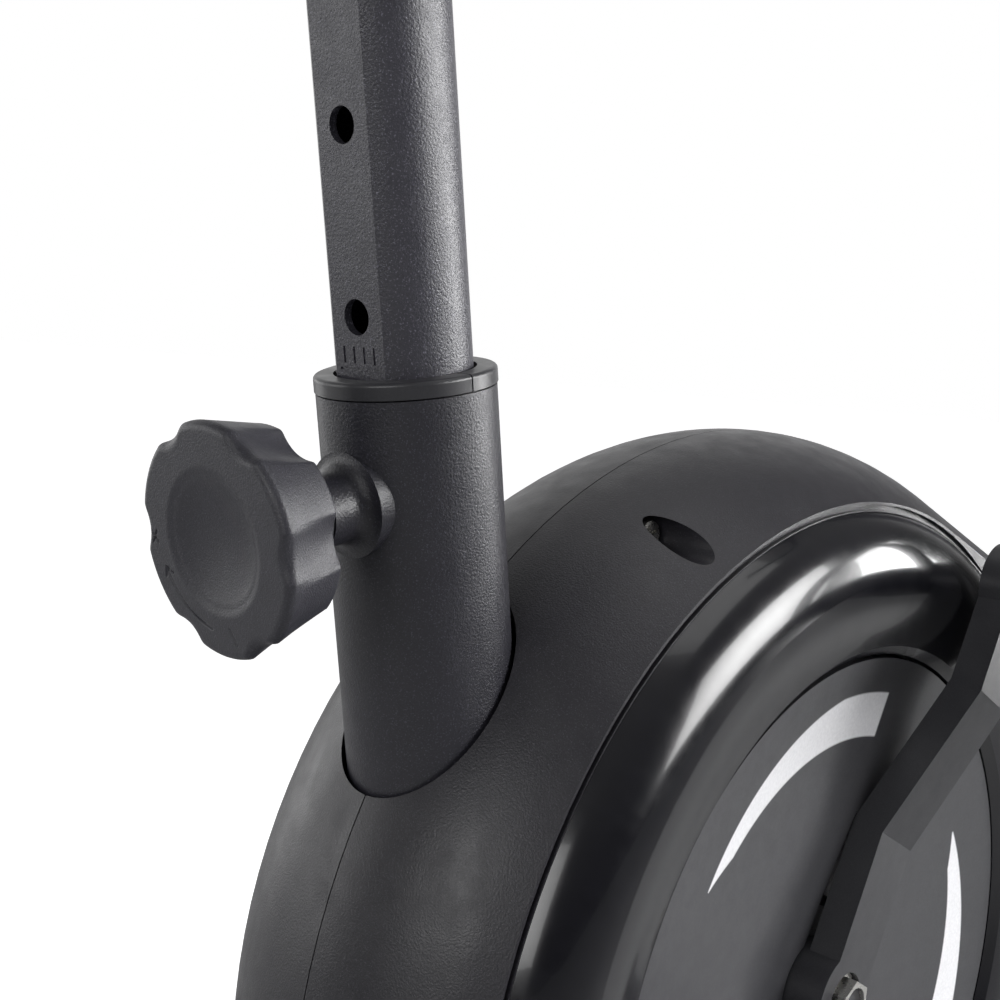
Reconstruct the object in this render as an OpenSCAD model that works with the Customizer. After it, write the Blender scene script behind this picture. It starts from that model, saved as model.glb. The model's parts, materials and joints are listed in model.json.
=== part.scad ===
// Upright magnetic exercise bike. Millimetres. +Z is up, the rider faces -Y and the rider's right side is -X.
// The origin is on the floor, in the middle of the footprint.

/* [View] */
// Node to draw, or all of them

/* [Base] */
// Height of the crank axis above the floor
crank_z = 300; // [280:1:330]
// Crank axis behind the middle of the footprint
crank_y = 52.5; // [40:0.5:70]
// Distance of each stabiliser from the middle
stab_y = 387.5; // [350:0.5:420]
// Diameter of the stabiliser, seat and handlebar tubes
tube_d = 50.8; // [40:0.1:60]
// Wall of the steel tubes
tube_wall = 2; // [1.5:0.1:3]
// Half width of the bike at the ends of the stabilisers
stab_half = 250; // [220:1:280]
// Outer radius of the end caps of the stabilisers
cap_r = 35; // [30:1:40]
// Width of the base beam
beam_w = 60; // [50:1:80]
// Height of the base beam
beam_h = 40; // [30:1:50]

/* [Seat] */
// Rearward lean of the seat tube in degrees
seat_lean = 11.3; // [5:0.1:18]
// Top of the seat tube behind the crank axis
collar_dy = 170; // [150:0.5:190]
// Top of the seat tube above the crank axis
collar_dz = 206.2; // [180:0.1:230]
// Diameter of the seat post
post_d = 38.1; // [30:0.1:45]
// Distance of the post's flat from its axis
flat_y = 16.3; // [14:0.1:19]
// Distance between locking holes
hole_pitch = 50; // [30:1:60]
// Diameter of a locking hole
hole_d = 9.8; // [8:0.1:12]
// Number of seat heights
seat_steps = 5; // [3:1:7]
// Length of the post above the collar at its highest setting
post_top = 290; // [200:1:320]
// Distance of the locking knob's axis below the collar
knob_drop = 33.2; // [25:0.1:45]
// Distance of the knob's face from the axis of the seat tube
knob_face_y = 69.5; // [55:0.1:80]
// Radius of the locking knob over its lobes
knob_r = 31; // [25:0.1:35]

/* [Housing] */
// Radius of the housing round the crank axis
shell_r = 193; // [170:1:210]
// Radius of the housing round its front end
nose_r = 155; // [150:1:158]
// Radius of the crown across the housing
crown_r = 81; // [70:1:100]
// Half width of the housing at its side planes
side_x = 53; // [45:1:60]
// Wall of the housing
shell_wall = 2.5; // [2:0.1:4]
// Outer radius of the gloss ring
ring_r = 170; // [160:1:175]
// Inner radius of the gloss ring
ring_in_r = 121.4; // [100:0.1:130]
// Radius of the disc that turns with the crank
disc_r = 120; // [100:0.1:125]

/* [Drive] */
// Direction of the right crank, from rearward towards up
crank_turn = 116; // [0:1:359]
// Crank length
crank_len = 160; // [150:1:175]
// Radius of the drive pulley
pulley_r = 110; // [90:1:120]
// Radius of the flywheel
flywheel_r = 105; // [90:1:115]
// Radius of the small belt groove on the flywheel hub
hub_r = 17; // [14:0.5:25]
// Flywheel axis ahead of the crank axis
fly_dy = 175; // [165:1:190]

/* [Front] */
// Forward lean of the front tube in degrees
front_lean = 4; // [0:0.5:10]
// Foot of the front tube ahead of the crank axis
front_dy = 310; // [290:1:330]
// Length of the front tube
front_len = 400; // [300:1:450]
// Length of the handlebar post from the beam to its top
post_len = 960; // [850:1:1000]
// Tilt of the console face towards the rider in degrees
console_tilt = 40; // [20:1:70]

/* [Hidden] */
$fn = 64;
tube_r = tube_d / 2;
stab_z = cap_r;
beam_z = stab_z + tube_r + 2.8;
beam_top = beam_z + beam_h;
collar_y = crank_y + collar_dy;
collar_z = crank_z + collar_dz;
crown_c = shell_r - crown_r;
nose_crown_c = nose_r - crown_r;
// Normal of the sloping top of the housing, as a 0.352 : 0.936 : 1 triangle
slope_normal = [-0.352, 0.936];
// Centre of the nose below and ahead of the crank axis: level underside, sloping top
nose_dz = shell_r - nose_r;
nose_dy = nose_dz * (1 + slope_normal.y) / -slope_normal.x;
edge_r = crown_c + sqrt(crown_r * crown_r - side_x * side_x);
belt_x = -34;
belt_w = 8;
belt_t = 2.5;
fly_dz = nose_dz;
fly_axis = sqrt(fly_dy * fly_dy + fly_dz * fly_dz);
fly_angle = 180 + atan(fly_dz / fly_dy);
belt_half = acos((pulley_r - hub_r) / fly_axis);
front_y = crank_y - front_dy;
front_r = 28.5;
post_r = tube_r;
bar_r = 12.7;
bar_z = 905;
bar_gap = 44;
knob_z = 760;
seam = 0.2;
post_bottom = -100;
fit = 0.1;
// A tangent line runs this far inside the circles that it joins, so that the edges cross cleanly
tangent_lap = 0.02;

// ---- shared shapes ----

// Cylinder along X from x0 to x1
module rod_x(r, x0, x1) {
    translate([x0, 0, 0])
        rotate([0, 90, 0])
            cylinder(r = r, h = x1 - x0);
}

// Cylinder along Y from y0 to y1
module rod_y(r, y0, y1) {
    translate([0, y1, 0])
        rotate([90, 0, 0])
            cylinder(r = r, h = y1 - y0);
}

// A profile drawn as (radius, x) and turned about the X axis
module turned_x() {
    rotate([0, 90, 0])
        rotate_extrude()
            children();
}

// Shapes drawn on XY moved to the side plane: their X goes rearwards and their Y up
module in_side_plane(x0) {
    translate([x0, 0, 0])
        rotate([90, 0, 90])
            children();
}

// A drawing in the side plane given thickness from x0 to x1
module side_plate(x0, x1) {
    in_side_plane(x0)
        linear_extrude(x1 - x0)
            children();
}

// Two discs joined by their outer tangents, the second one centred at a point
module tangent_pair(r1, r2, at, h) {
    angle = atan2(at.y, at.x);
    half = acos((r1 - r2) / norm(at));
    left = [cos(angle + half), sin(angle + half)];
    right = [cos(angle - half), sin(angle - half)];
    near = r1 - tangent_lap;
    far = r2 - tangent_lap;
    cylinder(r = r1, h = h);
    translate(at)
        cylinder(r = r2, h = h);
    linear_extrude(h)
        polygon([near * left, at + far * left, at + far * right, near * right]);
}

module rounded_square(size, r) {
    square([size.x - 2 * r, size.y], center = true);
    square([size.x, size.y - 2 * r], center = true);
    for (x = [-1, 1], y = [-1, 1])
        translate([x * (size.x / 2 - r), y * (size.y / 2 - r)])
            circle(r);
}

module at_crank() {
    translate([0, crank_y, crank_z])
        children();
}

module at_flywheel() {
    translate([0, crank_y - fly_dy, crank_z - fly_dz])
        children();
}

// Frame of the seat tube: Z along the tube from the collar, Y rearwards and square to it
module on_seat_line() {
    translate([0, collar_y, collar_z])
        rotate([-seat_lean, 0, 0])
            children();
}

// Frame of the locking knob: the same directions, on the knob's own axis
module on_knob_axis() {
    on_seat_line()
        translate([0, 0, -knob_drop])
            children();
}

// Frame of the front tube: Z along the tube from the top of the beam
module on_front_line() {
    translate([0, front_y, beam_top])
        rotate([front_lean, 0, 0])
            children();
}

module mirrored(side) {
    if (side < 0)
        mirror([1, 0, 0])
            children();
    else
        children();
}

module above(z) {
    translate([-500, -700, z])
        cube([1000, 1400, 1600]);
}

// ---- base ----

bolt_x = 20;

module each_bolt() {
    for (end = [-1, 1], x = [-bolt_x, bolt_x])
        translate([x, end * stab_y, 0])
            children();
}

module base_beam() {
    length = 2 * stab_y + 44;
    color("dimgray")
        difference() {
            union() {
                translate([-beam_w / 2, -length / 2, beam_z])
                    cube([beam_w, length, beam_h]);
                for (end = [-1, 1])
                    translate([0, end * stab_y, stab_z])
                        intersection() {
                            rod_x(tube_r + 4, -beam_w / 2, beam_w / 2);
                            translate([-beam_w / 2, -22, 8])
                                cube([beam_w, 44, 40]);
                        }
            }
            difference() {
                translate([-beam_w / 2 + tube_wall, -length / 2 + 3, beam_z + tube_wall])
                    cube([beam_w - 2 * tube_wall, length - 6, beam_h - 2 * tube_wall]);
                each_bolt()
                    translate([0, 0, beam_z])
                        cylinder(r = 7, h = beam_h);
            }
            for (end = [-1, 1])
                translate([0, end * stab_y, stab_z])
                    rod_x(tube_r + fit, -beam_w, beam_w);
            each_bolt()
                cylinder(r = 4.2, h = 200);
        }
}

module stabiliser(end, half) {
    translate([0, end * stab_y, stab_z])
        difference() {
            rod_x(tube_r, -half, half);
            rod_x(tube_r - tube_wall, -stab_half, stab_half);
            for (x = [-bolt_x, bolt_x])
                translate([x, 0, -60])
                    cylinder(r = 4.2, h = 120);
        }
}

module rear_stabiliser() {
    color("dimgray")
        stabiliser(1, stab_half - 18);
}

module front_stabiliser() {
    color("dimgray")
        stabiliser(-1, stab_half - 38);
}

// Carriage bolts up through stabiliser and beam, with domed nuts
module stabiliser_bolts() {
    foot = stab_z - tube_r;
    color("silver")
        each_bolt() {
            translate([0, 0, foot - 3.6])
                cylinder(r = 9, h = 3.5);
            translate([0, 0, foot - 1])
                cylinder(r = 4, h = beam_top + 8 - foot);
            translate([0, 0, beam_top + fit])
                cylinder(r = 7.5, h = 7, $fn = 6);
            translate([0, 0, beam_top + 6])
                intersection() {
                    sphere(r = 6.4);
                    cylinder(r = 8, h = 8);
                }
        }
}

cap_len = 44;

// End cap that slips over a stabiliser, bored from its inboard end
module cap_shell(side, bore_depth) {
    inboard = stab_half - cap_len;
    mirrored(side)
        turned_x()
            difference() {
                union() {
                    translate([0, inboard])
                        square([cap_r - 6, cap_len]);
                    translate([0, inboard + 6])
                        square([cap_r, cap_len - 12]);
                    for (x = [inboard + 6, stab_half - 6])
                        translate([cap_r - 6, x])
                            circle(6);
                }
                translate([-1, inboard - 1])
                    square([tube_r + 1 + fit, bore_depth + 1]);
            }
}

// Levelling cap: its flats are stepped round the tube so that it can be turned to suit the floor
module leveller(side) {
    flats = 12;
    translate([0, stab_y, stab_z])
        intersection() {
            cap_shell(side, cap_len - 17);
            mirrored(side)
                translate([stab_half - cap_len - 1, 0, 0])
                    rotate([180 / flats, 0, 0])
                        rotate([0, 90, 0])
                            cylinder(r = cap_r / cos(180 / flats), h = cap_len + 2, $fn = flats);
        }
}

module rear_leveller_right() {
    color("black")
        leveller(-1);
}

module rear_leveller_left() {
    color("black")
        leveller(1);
}

wheel_r = 24;
wheel_in = stab_half - 28;
wheel_out = stab_half - 12;

module at_wheel_axis() {
    translate([0, -stab_y - cap_r + wheel_r, wheel_r + 3])
        children();
}

// Front end caps, each slotted for a transport wheel that turns on a moulded pin
module front_feet() {
    color("black")
        for (side = [-1, 1]) {
            difference() {
                union() {
                    translate([0, -stab_y, stab_z])
                        cap_shell(side, 7);
                    mirrored(side)
                        translate([stab_half - cap_len + 4, -stab_y - 12, 0])
                            cube([wheel_in - stab_half + cap_len - 4, 24, 9]);
                }
                at_wheel_axis()
                    mirrored(side)
                        rod_x(wheel_r + 1.6, wheel_in - 1.2, wheel_out + 1.2);
            }
            at_wheel_axis()
                mirrored(side)
                    rod_x(4, wheel_in - 4, wheel_out + 4);
        }
}

module transport_wheel(side) {
    middle = (wheel_in + wheel_out) / 2;
    at_wheel_axis()
        mirrored(side)
            difference() {
                union() {
                    rod_x(wheel_r, wheel_in + 2, wheel_out - 2);
                    rod_x(wheel_r - 2, wheel_in, wheel_out);
                }
                rod_x(4.06, 0, 400);
                for (face = [-1, 1])
                    translate([middle + face * 12, 0, 0])
                        difference() {
                            rod_x(wheel_r - 6, -8, 8);
                            rod_x(8, -9, 9);
                        }
            }
}

module transport_wheel_right() {
    color("dimgray")
        transport_wheel(-1);
}

module transport_wheel_left() {
    color("dimgray")
        transport_wheel(1);
}

// ---- seat tube, post and saddle ----

// Section of the seat post: a circle of the given radius with one flat towards the rear
module post_section(r, flat) {
    intersection() {
        circle(r);
        translate([-r, flat - 2 * r])
            square(2 * r);
    }
}

flange_h = 4.6;
flange_top = 0.6;
tube_top = flange_top - flange_h - 0.5;
boss_r = 9.8;
boss_end = 37;
sleeve_r = 9.2;
pin_r = 4;
weld_r = 5;
weld_root = 5.2;

// Main seat tube with the threaded boss for the locking knob welded to its back
module seat_tube() {
    length = 520;
    color("dimgray")
        difference() {
            intersection() {
                union() {
                    on_seat_line()
                        translate([0, 0, -length])
                            cylinder(r = tube_r, h = length + tube_top);
                    on_knob_axis() {
                        rod_y(boss_r, 0, boss_end);
                        weld_collar();
                    }
                }
                above(beam_top);
            }
            on_seat_line()
                translate([0, 0, -length - 10])
                    cylinder(r = tube_r - tube_wall, h = length + 20);
            on_knob_axis()
                rod_y(6.6, 0, boss_end + 1);
        }
}

// Concave weld bead between the boss and the tube
module weld_collar() {
    translate([0, tube_r - weld_root, 0])
        rotate([-90, 0, 0])
            rotate_extrude()
                difference() {
                    square([boss_r + weld_r, weld_r + weld_root]);
                    translate([boss_r + weld_r, weld_r + weld_root])
                        circle(weld_r);
                }
}

module seat_bush() {
    bush_split = 181;
    split_w = 0.5;
    liner = 150;
    mouth = 1.7;
    color("black")
        on_seat_line()
            difference() {
                union() {
                    translate([0, 0, flange_top - flange_h])
                        cylinder(r = tube_r + 0.3, h = flange_h - 1.2);
                    translate([0, 0, flange_top - 2])
                        cylinder(r = tube_r - 0.9, h = 2);
                    translate([0, 0, flange_top - 1.2])
                        rotate_extrude()
                            translate([tube_r - 0.9, 0])
                                circle(1.2);
                    translate([0, 0, -liner])
                        cylinder(r = tube_r - tube_wall - 0.05, h = liner);
                }
                translate([0, 0, -liner - 1])
                    linear_extrude(liner + 10)
                        post_section(post_d / 2 + 0.05, flat_y + 0.05);
                translate([0, 0, flange_top - mouth])
                    cylinder(r = post_d / 2 + 1, h = mouth + 1);
                translate([0, 0, -knob_drop])
                    rod_y(6.6, 0, 40);
                rotate(bush_split)
                    translate([post_d / 2 - 1, -split_w / 2, flange_top - flange_h - 1])
                        cube([12, split_w, flange_h + 2]);
            }
}

// Telescoping seat post with a row of locking holes in its flat
module seat_post() {
    wall = 2.4;
    first = -knob_drop;
    color("dimgray")
        on_seat_line()
            difference() {
                translate([0, 0, post_bottom])
                    linear_extrude(post_top - post_bottom)
                        difference() {
                            post_section(post_d / 2, flat_y);
                            post_section(post_d / 2 - wall, flat_y - wall);
                        }
                for (i = [0:seat_steps - 1])
                    translate([0, 0, first + i * hole_pitch])
                        rod_y(hole_d / 2, 5, 30);
                limit_mark();
            }
}

// Stamped limit mark just above the collar: a bar under two upright strokes
module limit_mark() {
    depth = 0.35;
    translate([0, flat_y - depth, 0]) {
        translate([-8, 0, 2.2])
            cube([16, 2, 0.8]);
        for (x = [-6.4, -2.4, 1.6, 5.6])
            translate([x, 0, 4.2])
                cube([0.8, 2, 4.6]);
    }
}

saddle_y = collar_y + post_top * sin(seat_lean);
saddle_z = collar_z + post_top * cos(seat_lean);
plate_z = saddle_z + 3;
base_z = plate_z + 5.2;
stud_at = [[-28, 30], [28, 30], [0, -42]];

module at_saddle() {
    translate([0, saddle_y, 0])
        children();
}

module saddle_bracket() {
    socket = 42;
    color("dimgray") {
        difference() {
            at_saddle()
                translate([0, 0, plate_z])
                    linear_extrude(5)
                        rounded_square([76, 110], 12);
            at_saddle()
                for (p = stud_at)
                    translate([p.x, p.y, plate_z - 1])
                        cylinder(r = 4.3, h = 8);
            on_seat_line()
                translate([0, 0, post_top - 10])
                    linear_extrude(10.2)
                        post_section(post_d / 2 + fit, flat_y + fit);
        }
        difference() {
            on_seat_line()
                translate([0, 0, post_top - socket])
                    difference() {
                        cylinder(r = post_d / 2 + 3, h = socket + 12);
                        translate([0, 0, -1])
                            linear_extrude(socket + 1.2)
                                post_section(post_d / 2 + fit, flat_y + fit);
                    }
            above(plate_z + 0.1);
        }
    }
}

nose_y = -128;
lobe_y = 58;
lobe_x = 56;

nose_tip_r = 34;
lobe_r = 66;

// Slab with the plan of the saddle: a narrow nose joined by tangents to two wide rear lobes
module saddle_slab(inset, h) {
    rise = lobe_y - nose_y;
    reach = sqrt(rise * rise + lobe_x * lobe_x);
    tip = nose_tip_r - inset;
    lobe = lobe_r - inset;
    normal = atan2(rise, lobe_x) - acos((nose_tip_r - lobe_r) / reach);
    out = [cos(normal), sin(normal)];
    nose_point = [0, nose_y] + (tip - tangent_lap) * out;
    lobe_point = [lobe_x, lobe_y] + (lobe - tangent_lap) * out;
    back = lobe_y + lobe - tangent_lap;
    linear_extrude(h)
        polygon([
            nose_point,
            lobe_point,
            [lobe_x, back],
            [-lobe_x, back],
            [-lobe_point.x, lobe_point.y],
            [-nose_point.x, nose_point.y]
        ]);
    translate([0, nose_y, 0])
        cylinder(r = tip, h = h);
    for (x = [-lobe_x, lobe_x])
        translate([x, lobe_y, 0])
            cylinder(r = lobe, h = h);
}

base_h = 14;
pad_h = 58;

module saddle_base() {
    color("black")
        at_saddle()
            difference() {
                translate([0, 0, base_z])
                    saddle_slab(6, base_h);
                translate([0, 0, base_z - 1])
                    difference() {
                        saddle_slab(10, base_h - 3);
                        for (p = stud_at)
                            translate([p.x, p.y, -1])
                                cylinder(r = 9, h = base_h);
                    }
            }
    color("silver")
        at_saddle()
            for (p = stud_at)
                translate([p.x, p.y, plate_z - 10])
                    cylinder(r = 4, h = 16);
}

// Cushion: layers of the saddle's plan that draw in towards the top
module saddle_pad() {
    layers = 5;
    round_r = 26;
    straight = pad_h - round_r;
    foot = base_z + base_h + 0.1;
    color("black")
        at_saddle()
            for (i = [0:layers]) {
                lift = i / layers;
                middle = max(lift - 0.5 / layers, 0);
                translate([0, 0, foot])
                    saddle_slab(round_r * (1 - sqrt(1 - middle * middle)), straight + round_r * lift);
            }
}

module saddle_nuts() {
    color("silver")
        at_saddle()
            for (p = stud_at)
                translate([p.x, p.y, plate_z - 8.6])
                    difference() {
                        union() {
                            cylinder(r = 7.4, h = 7, $fn = 6);
                            translate([0, 0, 7])
                                cylinder(r = 9, h = 1.5);
                        }
                        translate([0, 0, -1])
                            cylinder(r = 4.05, h = 12);
                    }
}

// ---- locking knob ----

lobe_count = 6;
knob_len = 20;
knob_back = knob_face_y - knob_len;
knob_draft = 3.8;
sleeve_end = 56;

// Body of the knob along Z: a cone cut by six scallops that keep their depth as it narrows
module lobed_cone() {
    scallop_r = 17;
    scallop_depth = 2.6;
    over = 1;
    lean = knob_draft / knob_len;
    difference() {
        cylinder(r1 = knob_r - knob_draft, r2 = knob_r, h = knob_len);
        for (i = [0:lobe_count - 1])
            rotate(i * 360 / lobe_count)
                translate([knob_r + scallop_r - scallop_depth, 0, -over])
                    cylinder(
                        r1 = scallop_r + knob_draft + lean * over,
                        r2 = scallop_r - lean * over,
                        h = knob_len + 2 * over
                    );
    }
}

// What the rounded edge takes off the knob's section at a lower corner of the given radius
module knob_corner(r) {
    edge = 4;
    past = 0.3;
    difference() {
        translate([r - edge + past, -1])
            square([edge + 2, edge + 1]);
        translate([r - edge + past, edge])
            circle(edge);
    }
}

module adjuster_knob() {
    dish_r = 17.6;
    dish_depth = 4;
    dish_sphere = (dish_r * dish_r + dish_depth * dish_depth) / (2 * dish_depth);
    color("black")
        on_knob_axis()
            translate([0, knob_back, 0])
                rotate([-90, 0, 0])
                    difference() {
                        intersection() {
                            lobed_cone();
                            rotate_extrude()
                                difference() {
                                    square([knob_r + 1, knob_len]);
                                    translate([0, knob_len])
                                        mirror([0, 1])
                                            knob_corner(knob_r);
                                }
                        }
                        translate([0, 0, knob_len + dish_sphere - dish_depth])
                            sphere(r = dish_sphere, $fn = 96);
                        translate([0, 0, -1])
                            cylinder(r = sleeve_r + 0.3, h = sleeve_end - knob_back + 2);
                        cylinder(r = pin_r + 0.05, h = knob_len - 6);
                    }
}

module adjuster_sleeve() {
    color("silver")
        on_knob_axis()
            difference() {
                union() {
                    rod_y(6.5, tube_r - 4, boss_end + 1);
                    rod_y(sleeve_r, boss_end + 0.1, sleeve_end);
                }
                rod_y(pin_r + 0.05, 10, sleeve_end + 1);
                rod_y(5.6, tube_r - 2, sleeve_end - 5);
            }
}

module adjuster_pin() {
    color("silver")
        on_knob_axis() {
            rod_y(pin_r, flat_y + 0.6, knob_face_y - 7);
            rod_y(5.3, tube_r, tube_r + 3);
        }
}

module adjuster_spring() {
    turns = 6;
    from = tube_r + 3.6;
    length = sleeve_end - 6 - from;
    color("silver")
        on_knob_axis()
            translate([0, from, 0])
                rotate([-90, 0, 0])
                    coil(4.75, 0.5, length / turns, turns);
}

// Coil spring along Z, each turn made of two half rounds that climb half a pitch each
module coil(r, wire_r, pitch, turns) {
    tilt = atan(pitch / 4 / r);
    for (i = [0:2 * turns - 1])
        translate([0, 0, (i + 0.5) * pitch / 2])
            rotate([0, tilt, 180 * i])
                rotate_extrude(angle = 180, $fn = 32)
                    translate([r / cos(tilt), 0])
                        circle(wire_r, $fn = 8);
}

// ---- housing ----

recess_x = 45;
well_inset = 10.3;
well_r = 6.1;
well_floor = 24;
well_wall = 2;
main_wells = [61.8, -12, -76];
nose_wells = [118, 250];
// Flat band that the rim shares with the side plate
rim_band = 8;

module at_nose() {
    translate([0, -nose_dy, -nose_dz])
        children();
}

// Solid section of the crown as (radius, x): one arc, cut flat at the side plane
module crown_section(centre, inset) {
    intersection() {
        translate([centre, 0])
            circle(crown_r - inset);
        square([centre + crown_r, side_x - inset]);
    }
}

// Wall of the crown with a narrow flat band on the side plane
module rim_section(centre) {
    flat_end = centre + edge_r - crown_c;
    difference() {
        intersection() {
            crown_section(centre, 0);
            translate([flat_end - rim_band, 0])
                square([crown_r, side_x]);
        }
        crown_section(centre, shell_wall);
    }
}

// A (radius, x) profile swept about the X axis between two directions in the side plane
module swept_x(from, to) {
    rotate([0, 90, 0])
        rotate([0, 0, 90])
            rotate_extrude(start = from, angle = to - from)
                children();
}

// Straight run of the rim under the direction of its normal in the side plane
module rim_run(angle, from) {
    rotate([angle, 0, 0])
        rotate(180, v = [1, 1, 0])
            translate([0, 0, from])
                linear_extrude(nose_dy)
                    rim_section(crown_c);
}

// Wedge between the normals of the top and the underside, behind (1) or ahead (-1) of them
module wedge(side) {
    far = 500;
    side_plate(-1, side_x + 1)
        polygon([
            [0, 0],
            far * slope_normal,
            [side * far, far * slope_normal.y],
            [side * far, -far],
            [0, -far]
        ]);
}

// Rim of one half: two arcs joined by two straight runs
module rim() {
    intersection() {
        turned_x()
            rim_section(crown_c);
        wedge(1);
    }
    at_nose()
        intersection() {
            turned_x()
                rim_section(nose_crown_c);
            wedge(-1);
        }
    rim_run(atan2(slope_normal.y, slope_normal.x), -nose_dy);
    rim_run(-90, 0);
}

// Outer skin of one half with the cup for the disc and the groove round the ring, drawn on +X
module half_skin() {
    groove_depth = 1.6;
    plate_r = edge_r - rim_band / 2;
    difference() {
        union() {
            rim();
            in_side_plane(side_x - shell_wall)
                tangent_pair(plate_r, plate_r - shell_r + nose_r, [-nose_dy, -nose_dz], shell_wall);
            rod_x(ring_in_r + shell_wall, recess_x - shell_wall, side_x);
        }
        rod_x(ring_in_r, recess_x, side_x + 1);
        rod_x(32, -1, side_x);
        turned_x()
            translate([ring_r + 0.4, side_x - groove_depth])
                square([edge_r - ring_r - 1.4, 5]);
        translate([-1, -500, -500])
            cube([1 + seam, 1000, 1000]);
    }
}

module each_main_well() {
    for (angle = main_wells)
        rotate([angle, 0, 0])
            translate([0, shell_r - well_inset, 0])
                children();
}

module each_nose_well() {
    at_nose()
        for (angle = nose_wells)
            rotate([angle, 0, 0])
                translate([0, nose_r - well_inset, 0])
                    children();
}

module each_well() {
    each_main_well()
        children();
    each_nose_well()
        children();
}

// Screw bosses of one half, drawn on +X and trimmed to end inside the wall of the crown
module bosses(r, from) {
    under = 0.4;
    intersection() {
        turned_x()
            crown_section(crown_c, under);
        each_main_well()
            rod_x(r, from, side_x);
    }
    intersection() {
        at_nose()
            turned_x()
                crown_section(nose_crown_c, under);
        each_nose_well()
            rod_x(r, from, side_x);
    }
}

// Openings for the two tubes and the strut of the frame
module frame_cuts() {
    on_seat_line()
        translate([0, 0, -500])
            cylinder(r = tube_r + 1.4, h = 560);
    on_front_line()
        translate([0, 0, -20])
            cylinder(r = front_r + 1.5, h = front_len);
    translate([0, crank_y, beam_top])
        cylinder(r = 16.5, h = 100);
}

module housing_right() {
    color("black")
        difference() {
            at_crank()
                mirror([1, 0, 0]) {
                    half_skin();
                    bosses(well_r + well_wall, well_floor - well_wall);
                    bosses(5, seam);
                }
            at_crank()
                each_well() {
                    rod_x(well_r, -side_x - 1, -well_floor);
                    rod_x(2.1, -side_x, 1);
                }
            frame_cuts();
        }
}

module housing_left() {
    color("black")
        difference() {
            at_crank() {
                half_skin();
                bosses(5, seam);
            }
            at_crank()
                each_well()
                    rod_x(1.7, -1, 15);
            frame_cuts();
        }
}

module housing_screws() {
    color("silver")
        at_crank()
            each_well()
                difference() {
                    union() {
                        rod_x(4.4, -well_floor - 3, -well_floor - 0.05);
                        rod_x(1.65, -well_floor - 1, 14);
                    }
                    translate([-well_floor - 3.5, -0.6, -3])
                        cube([1.5, 1.2, 6]);
                    translate([-well_floor - 3.5, -3, -0.6])
                        cube([1.5, 6, 1.2]);
                }
}

// ---- gloss ring and disc ----

ring_peak_x = 67;
ring_peak_r = 148;
ring_in_x = 62;
ring_wall = 2.5;

// Centre height and radius of the arc through the ring's outer foot that is square to the
// axis at its peak
ring_foot = ring_r - ring_peak_r;
ring_rise = ring_peak_x - side_x;
ring_arc = (ring_foot * ring_foot + ring_rise * ring_rise) / (2 * ring_rise);

module ring_section(inset) {
    intersection() {
        translate([ring_peak_r, ring_peak_x - ring_arc])
            circle(ring_arc - inset);
        translate([ring_in_r + 0.1 + inset, side_x - 10])
            square([100, 40]);
    }
    bridge = ring_peak_x - ring_in_x;
    inner_arc = (pow(ring_peak_r - ring_in_r, 2) + bridge * bridge) / (2 * bridge);
    intersection() {
        translate([ring_peak_r, ring_peak_x - inner_arc])
            circle(inner_arc - inset);
        translate([ring_in_r + 0.1 + inset, side_x - 10])
            square([ring_peak_r - ring_in_r - inset, 40]);
    }
}

// Bevel on the inner edge of the ring
module ring_chamfer() {
    low = ring_in_x - 3.2;
    reach = 7;
    translate([ring_in_r - 1, low])
        polygon([[0, 0], [reach, reach], [0, reach]]);
}

module ring(side) {
    color("black")
        at_crank()
            mirrored(side)
                turned_x()
                    difference() {
                        intersection() {
                            ring_section(0);
                            translate([0, side_x + 0.1])
                                square([ring_r, 40]);
                        }
                        intersection() {
                            ring_section(ring_wall);
                            translate([0, side_x - 1])
                                square([ring_r, 40]);
                        }
                        ring_chamfer();
                    }
}

module ring_right() {
    ring(-1);
}

module ring_left() {
    ring(1);
}

disc_rim_x = 60;
disc_hub_x = 50;
disc_wall = 3;
disc_sphere = (disc_r * disc_r + pow(disc_rim_x - disc_hub_x, 2)) / (2 * (disc_rim_x - disc_hub_x));
arm_half = 12.7;
arm_gap = 1.2;
hub_flange_r = 28;

// Dished disc carried by the crank, with a slot through which the arm stands out
module disc(side) {
    face_x = disc_hub_x + disc_sphere;
    slot_end = 62;
    skirt = 7.6;
    color("gray")
        on_crank(side)
            difference() {
                turned_x() {
                    intersection() {
                        difference() {
                            circle_at(0, face_x, disc_sphere + disc_wall);
                            circle_at(0, face_x, disc_sphere);
                        }
                        square([disc_r, disc_rim_x + 1]);
                    }
                    translate([disc_r - 2, disc_rim_x - skirt - 0.4])
                        square([2, skirt]);
                }
                side_plate(40, 80) {
                    circle(arm_half + 4.4 + arm_gap);
                    translate([0, -arm_half - arm_gap])
                        square([slot_end, 2 * (arm_half + arm_gap)]);
                }
            }
}

module circle_at(x, y, r) {
    translate([x, y])
        circle(r, $fn = 360);
}

module disc_right() {
    disc(-1);
}

module disc_left() {
    disc(1);
}

// ---- crankset ----

arm_in_x = 52;
arm_t = 12;
arm_step = 18;
arm_bend_from = 60;
arm_bend_to = 118;
axle_r = 8.5;
axle_half = 58;
eye_r = 15;
pedal_thread_r = 7;

// Edge view of a crank arm as (x, distance from the axle)
module arm_edge() {
    out_x = arm_in_x + arm_t;
    end = crank_len + eye_r;
    polygon([
        [arm_in_x, -18],
        [arm_in_x, arm_bend_from],
        [arm_in_x + arm_step, arm_bend_to],
        [arm_in_x + arm_step, end],
        [out_x + arm_step, end],
        [out_x + arm_step, arm_bend_to - 2],
        [out_x, arm_bend_from - 2],
        [out_x, -18]
    ]);
}

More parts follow.
